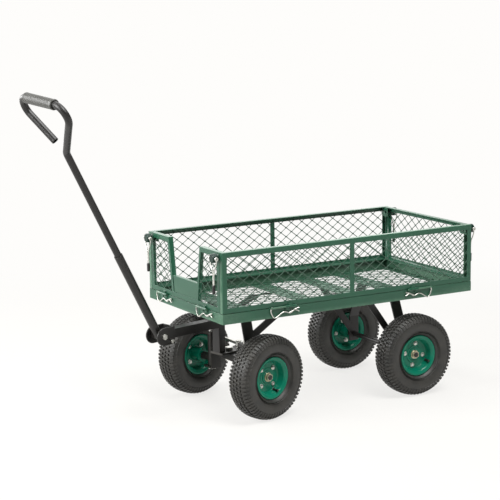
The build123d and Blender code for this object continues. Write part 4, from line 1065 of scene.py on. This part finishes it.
pin_finish = NODES["hinge_pins"].data.materials
pin_finish.clear()
pin_finish.append(GREEN_COAT)
clips = bmesh.new()
for side in SIDES:
    along, outward = (Vector(axis) for axis in PLANES[f"{side}_panel_mesh"])
    line = Vector(JOINTS[f"{side}_panel_fold"]["pos_m"])
    line -= along * line.dot(along)
    for centre, way, reach in SIDE_HINGES if side in ("left", "right") else END_HINGES:
        hook = line + along * ((centre + way * reach) * MM)
        for route in (CLIP_ROUTE, CLIP_TIP):
            points = [hook + along * (way * u * MM) + Vector((0, 0, v * MM)) for u, v in route]
            clips.from_mesh(wire_mesh(points, CLIP_WIRE * MM))
hang("spring_clips", to_mesh(clips, "clips"), BODY_OF["hinge_clips"], CLEAR_ZINC, "hinge_clips")
print("spring clips on", BODY_OF["hinge_clips"])

# %% [markdown]
# ## Studio
# The trolley stands on a plain pale floor under large soft lights. The photograph's ground is nearly
# white with faint shadows: seen by the camera, the floor mixes its own shaded colour with a plain white,
# and further out it is all white, so no horizon shows. The object itself is lit only by lamps and sky.

# %% Floor
FLOOR_HALF = 60.0
GROUND_Z = CAD_BOX[0].z
FLOOR_WHITE = "#fefdfb"
FLOOR_GREY = "#d2d0cb"
FLOOR_ROUGHNESS = 0.9
SHADOW_SHARE = 0.24
FADE = (1.0, 2.4)


def seen_directly(tree):
    """1 for rays that show the background: from the camera, in gloss and through glass."""
    rays = add(tree, "ShaderNodeLightPath").outputs
    either = work_out(tree, "MAXIMUM", rays["Is Camera Ray"], rays["Is Glossy Ray"])
    return work_out(tree, "MAXIMUM", either, rays["Is Transmission Ray"])


def floor_material():
    """Pale studio floor that keeps the shadow near the object and fades to white further out."""
    material, tree, shader, place = start_material("matt_white_studio_floor")
    shader.inputs["Base Color"].default_value = linear(FLOOR_GREY)
    shader.inputs["Roughness"].default_value = FLOOR_ROUGHNESS
    distance = add(tree, "ShaderNodeVectorMath", {0: place}, operation="LENGTH").outputs["Value"]
    far = stretch(tree, distance, FADE, (1 - SHADOW_SHARE, 1.0), interpolation_type="SMOOTHSTEP")
    share = work_out(tree, "MULTIPLY", far, seen_directly(tree))
    white = add(tree, "ShaderNodeEmission", {"Color": linear(FLOOR_WHITE), "Strength": 1.0})
    mixed = add(tree, "ShaderNodeMixShader", {0: share, 1: shader.outputs[0], 2: white.outputs[0]})
    tree.links.new(mixed.outputs[0], tree.nodes["Material Output"].inputs["Surface"])
    return material


sheet = bpy.data.meshes.new("studio_floor")
spread = [(x * FLOOR_HALF, y * FLOOR_HALF, GROUND_Z) for x, y in ((-1, -1), (1, -1), (1, 1), (-1, 1))]
sheet.from_pydata(spread, [], [(0, 1, 2, 3)])
sheet.materials.append(floor_material())
floor = bpy.data.objects.new("studio_floor", sheet)
scene.collection.objects.link(floor)
floor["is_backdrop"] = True
print("floor at", round(GROUND_Z, 3))

# %% [markdown]
# ### Light
# One large soft lamp stands ahead of the trolley, a second hangs high over its left side, and a third
# overhead fills. Two more behind give the bright top edges and the sheen on the front faces. The white
# backdrop stands behind too: it is what flat glances off the paint reflect, so rails and front faces look
# pale. The rest of the studio is dim.

# %% Lamps and sky
# Place in metres, width and watts of each lamp.
LAMPS = {
    "front_softbox": ((-3.5, 0.1, 1.6), 2.0, 140),
    "high_side_softbox": ((0.1, -1.9, 3.4), 2.0, 165),
    "overhead": ((0.2, 0.6, 3.2), 2.6, 40),
    "back_left_softbox": ((-2.2, 3.4, 1.2), 1.8, 75),
    "back_softbox": ((1.8, 3.4, 1.9), 2.0, 22),
}
LAMP_AIM = Vector((0, 0, -0.05))
DIM_SKY = 0.17
SKY_WHITE = "#f6f4ee"
BACKDROP_WAY = (-0.1, 0.95, 0.3)
BACKDROP_EDGE = (-0.1, 0.5)

for name, (spot, size, power) in LAMPS.items():
    lamp = bpy.data.lights.new(name, "AREA")
    lamp.size = size
    lamp.energy = power
    light = bpy.data.objects.new(name, lamp)
    light.location = spot
    light.rotation_euler = (LAMP_AIM - Vector(spot)).to_track_quat("-Z", "Y").to_euler()
    scene.collection.objects.link(light)
sky = bpy.data.worlds.new("studio_sky")
sky.use_nodes = True
tree = sky.node_tree
way = add(tree, "ShaderNodeTexCoord").outputs["Generated"]
ways = {0: way, 1: BACKDROP_WAY}
facing = add(tree, "ShaderNodeVectorMath", ways, operation="DOT_PRODUCT").outputs["Value"]
backdrop = stretch(tree, facing, BACKDROP_EDGE, (0.0, 1.0), interpolation_type="SMOOTHSTEP")
dim = tree.nodes["Background"]
dim.inputs["Color"].default_value = linear(SKY_WHITE)
dim.inputs["Strength"].default_value = DIM_SKY
white = add(tree, "ShaderNodeBackground", {"Color": linear(FLOOR_WHITE), "Strength": 1.0})
camera_ray = add(tree, "ShaderNodeLightPath").outputs["Is Camera Ray"]
shown = work_out(tree, "MULTIPLY", backdrop, seen_directly(tree))
share = work_out(tree, "MAXIMUM", camera_ray, shown)
mixed = add(tree, "ShaderNodeMixShader", {0: share, 1: dim.outputs[0], 2: white.outputs[0]})
tree.links.new(mixed.outputs[0], tree.nodes["World Output"].inputs["Surface"])
scene.world = sky
print("lamps:", len(LAMPS))

# %% [markdown]
# The dressed trolley's box is written beside the CAD box. Every piece follows a node, so the two agree to
# about a millimetre: only the tyre lugs stand a little proud.

# %% Print the two boxes
boxes = {"cad": CAD_BOX, "visual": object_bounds()}
for key, box in boxes.items():
    print(key, "box:", [[round(value, 4) for value in corner] for corner in box])
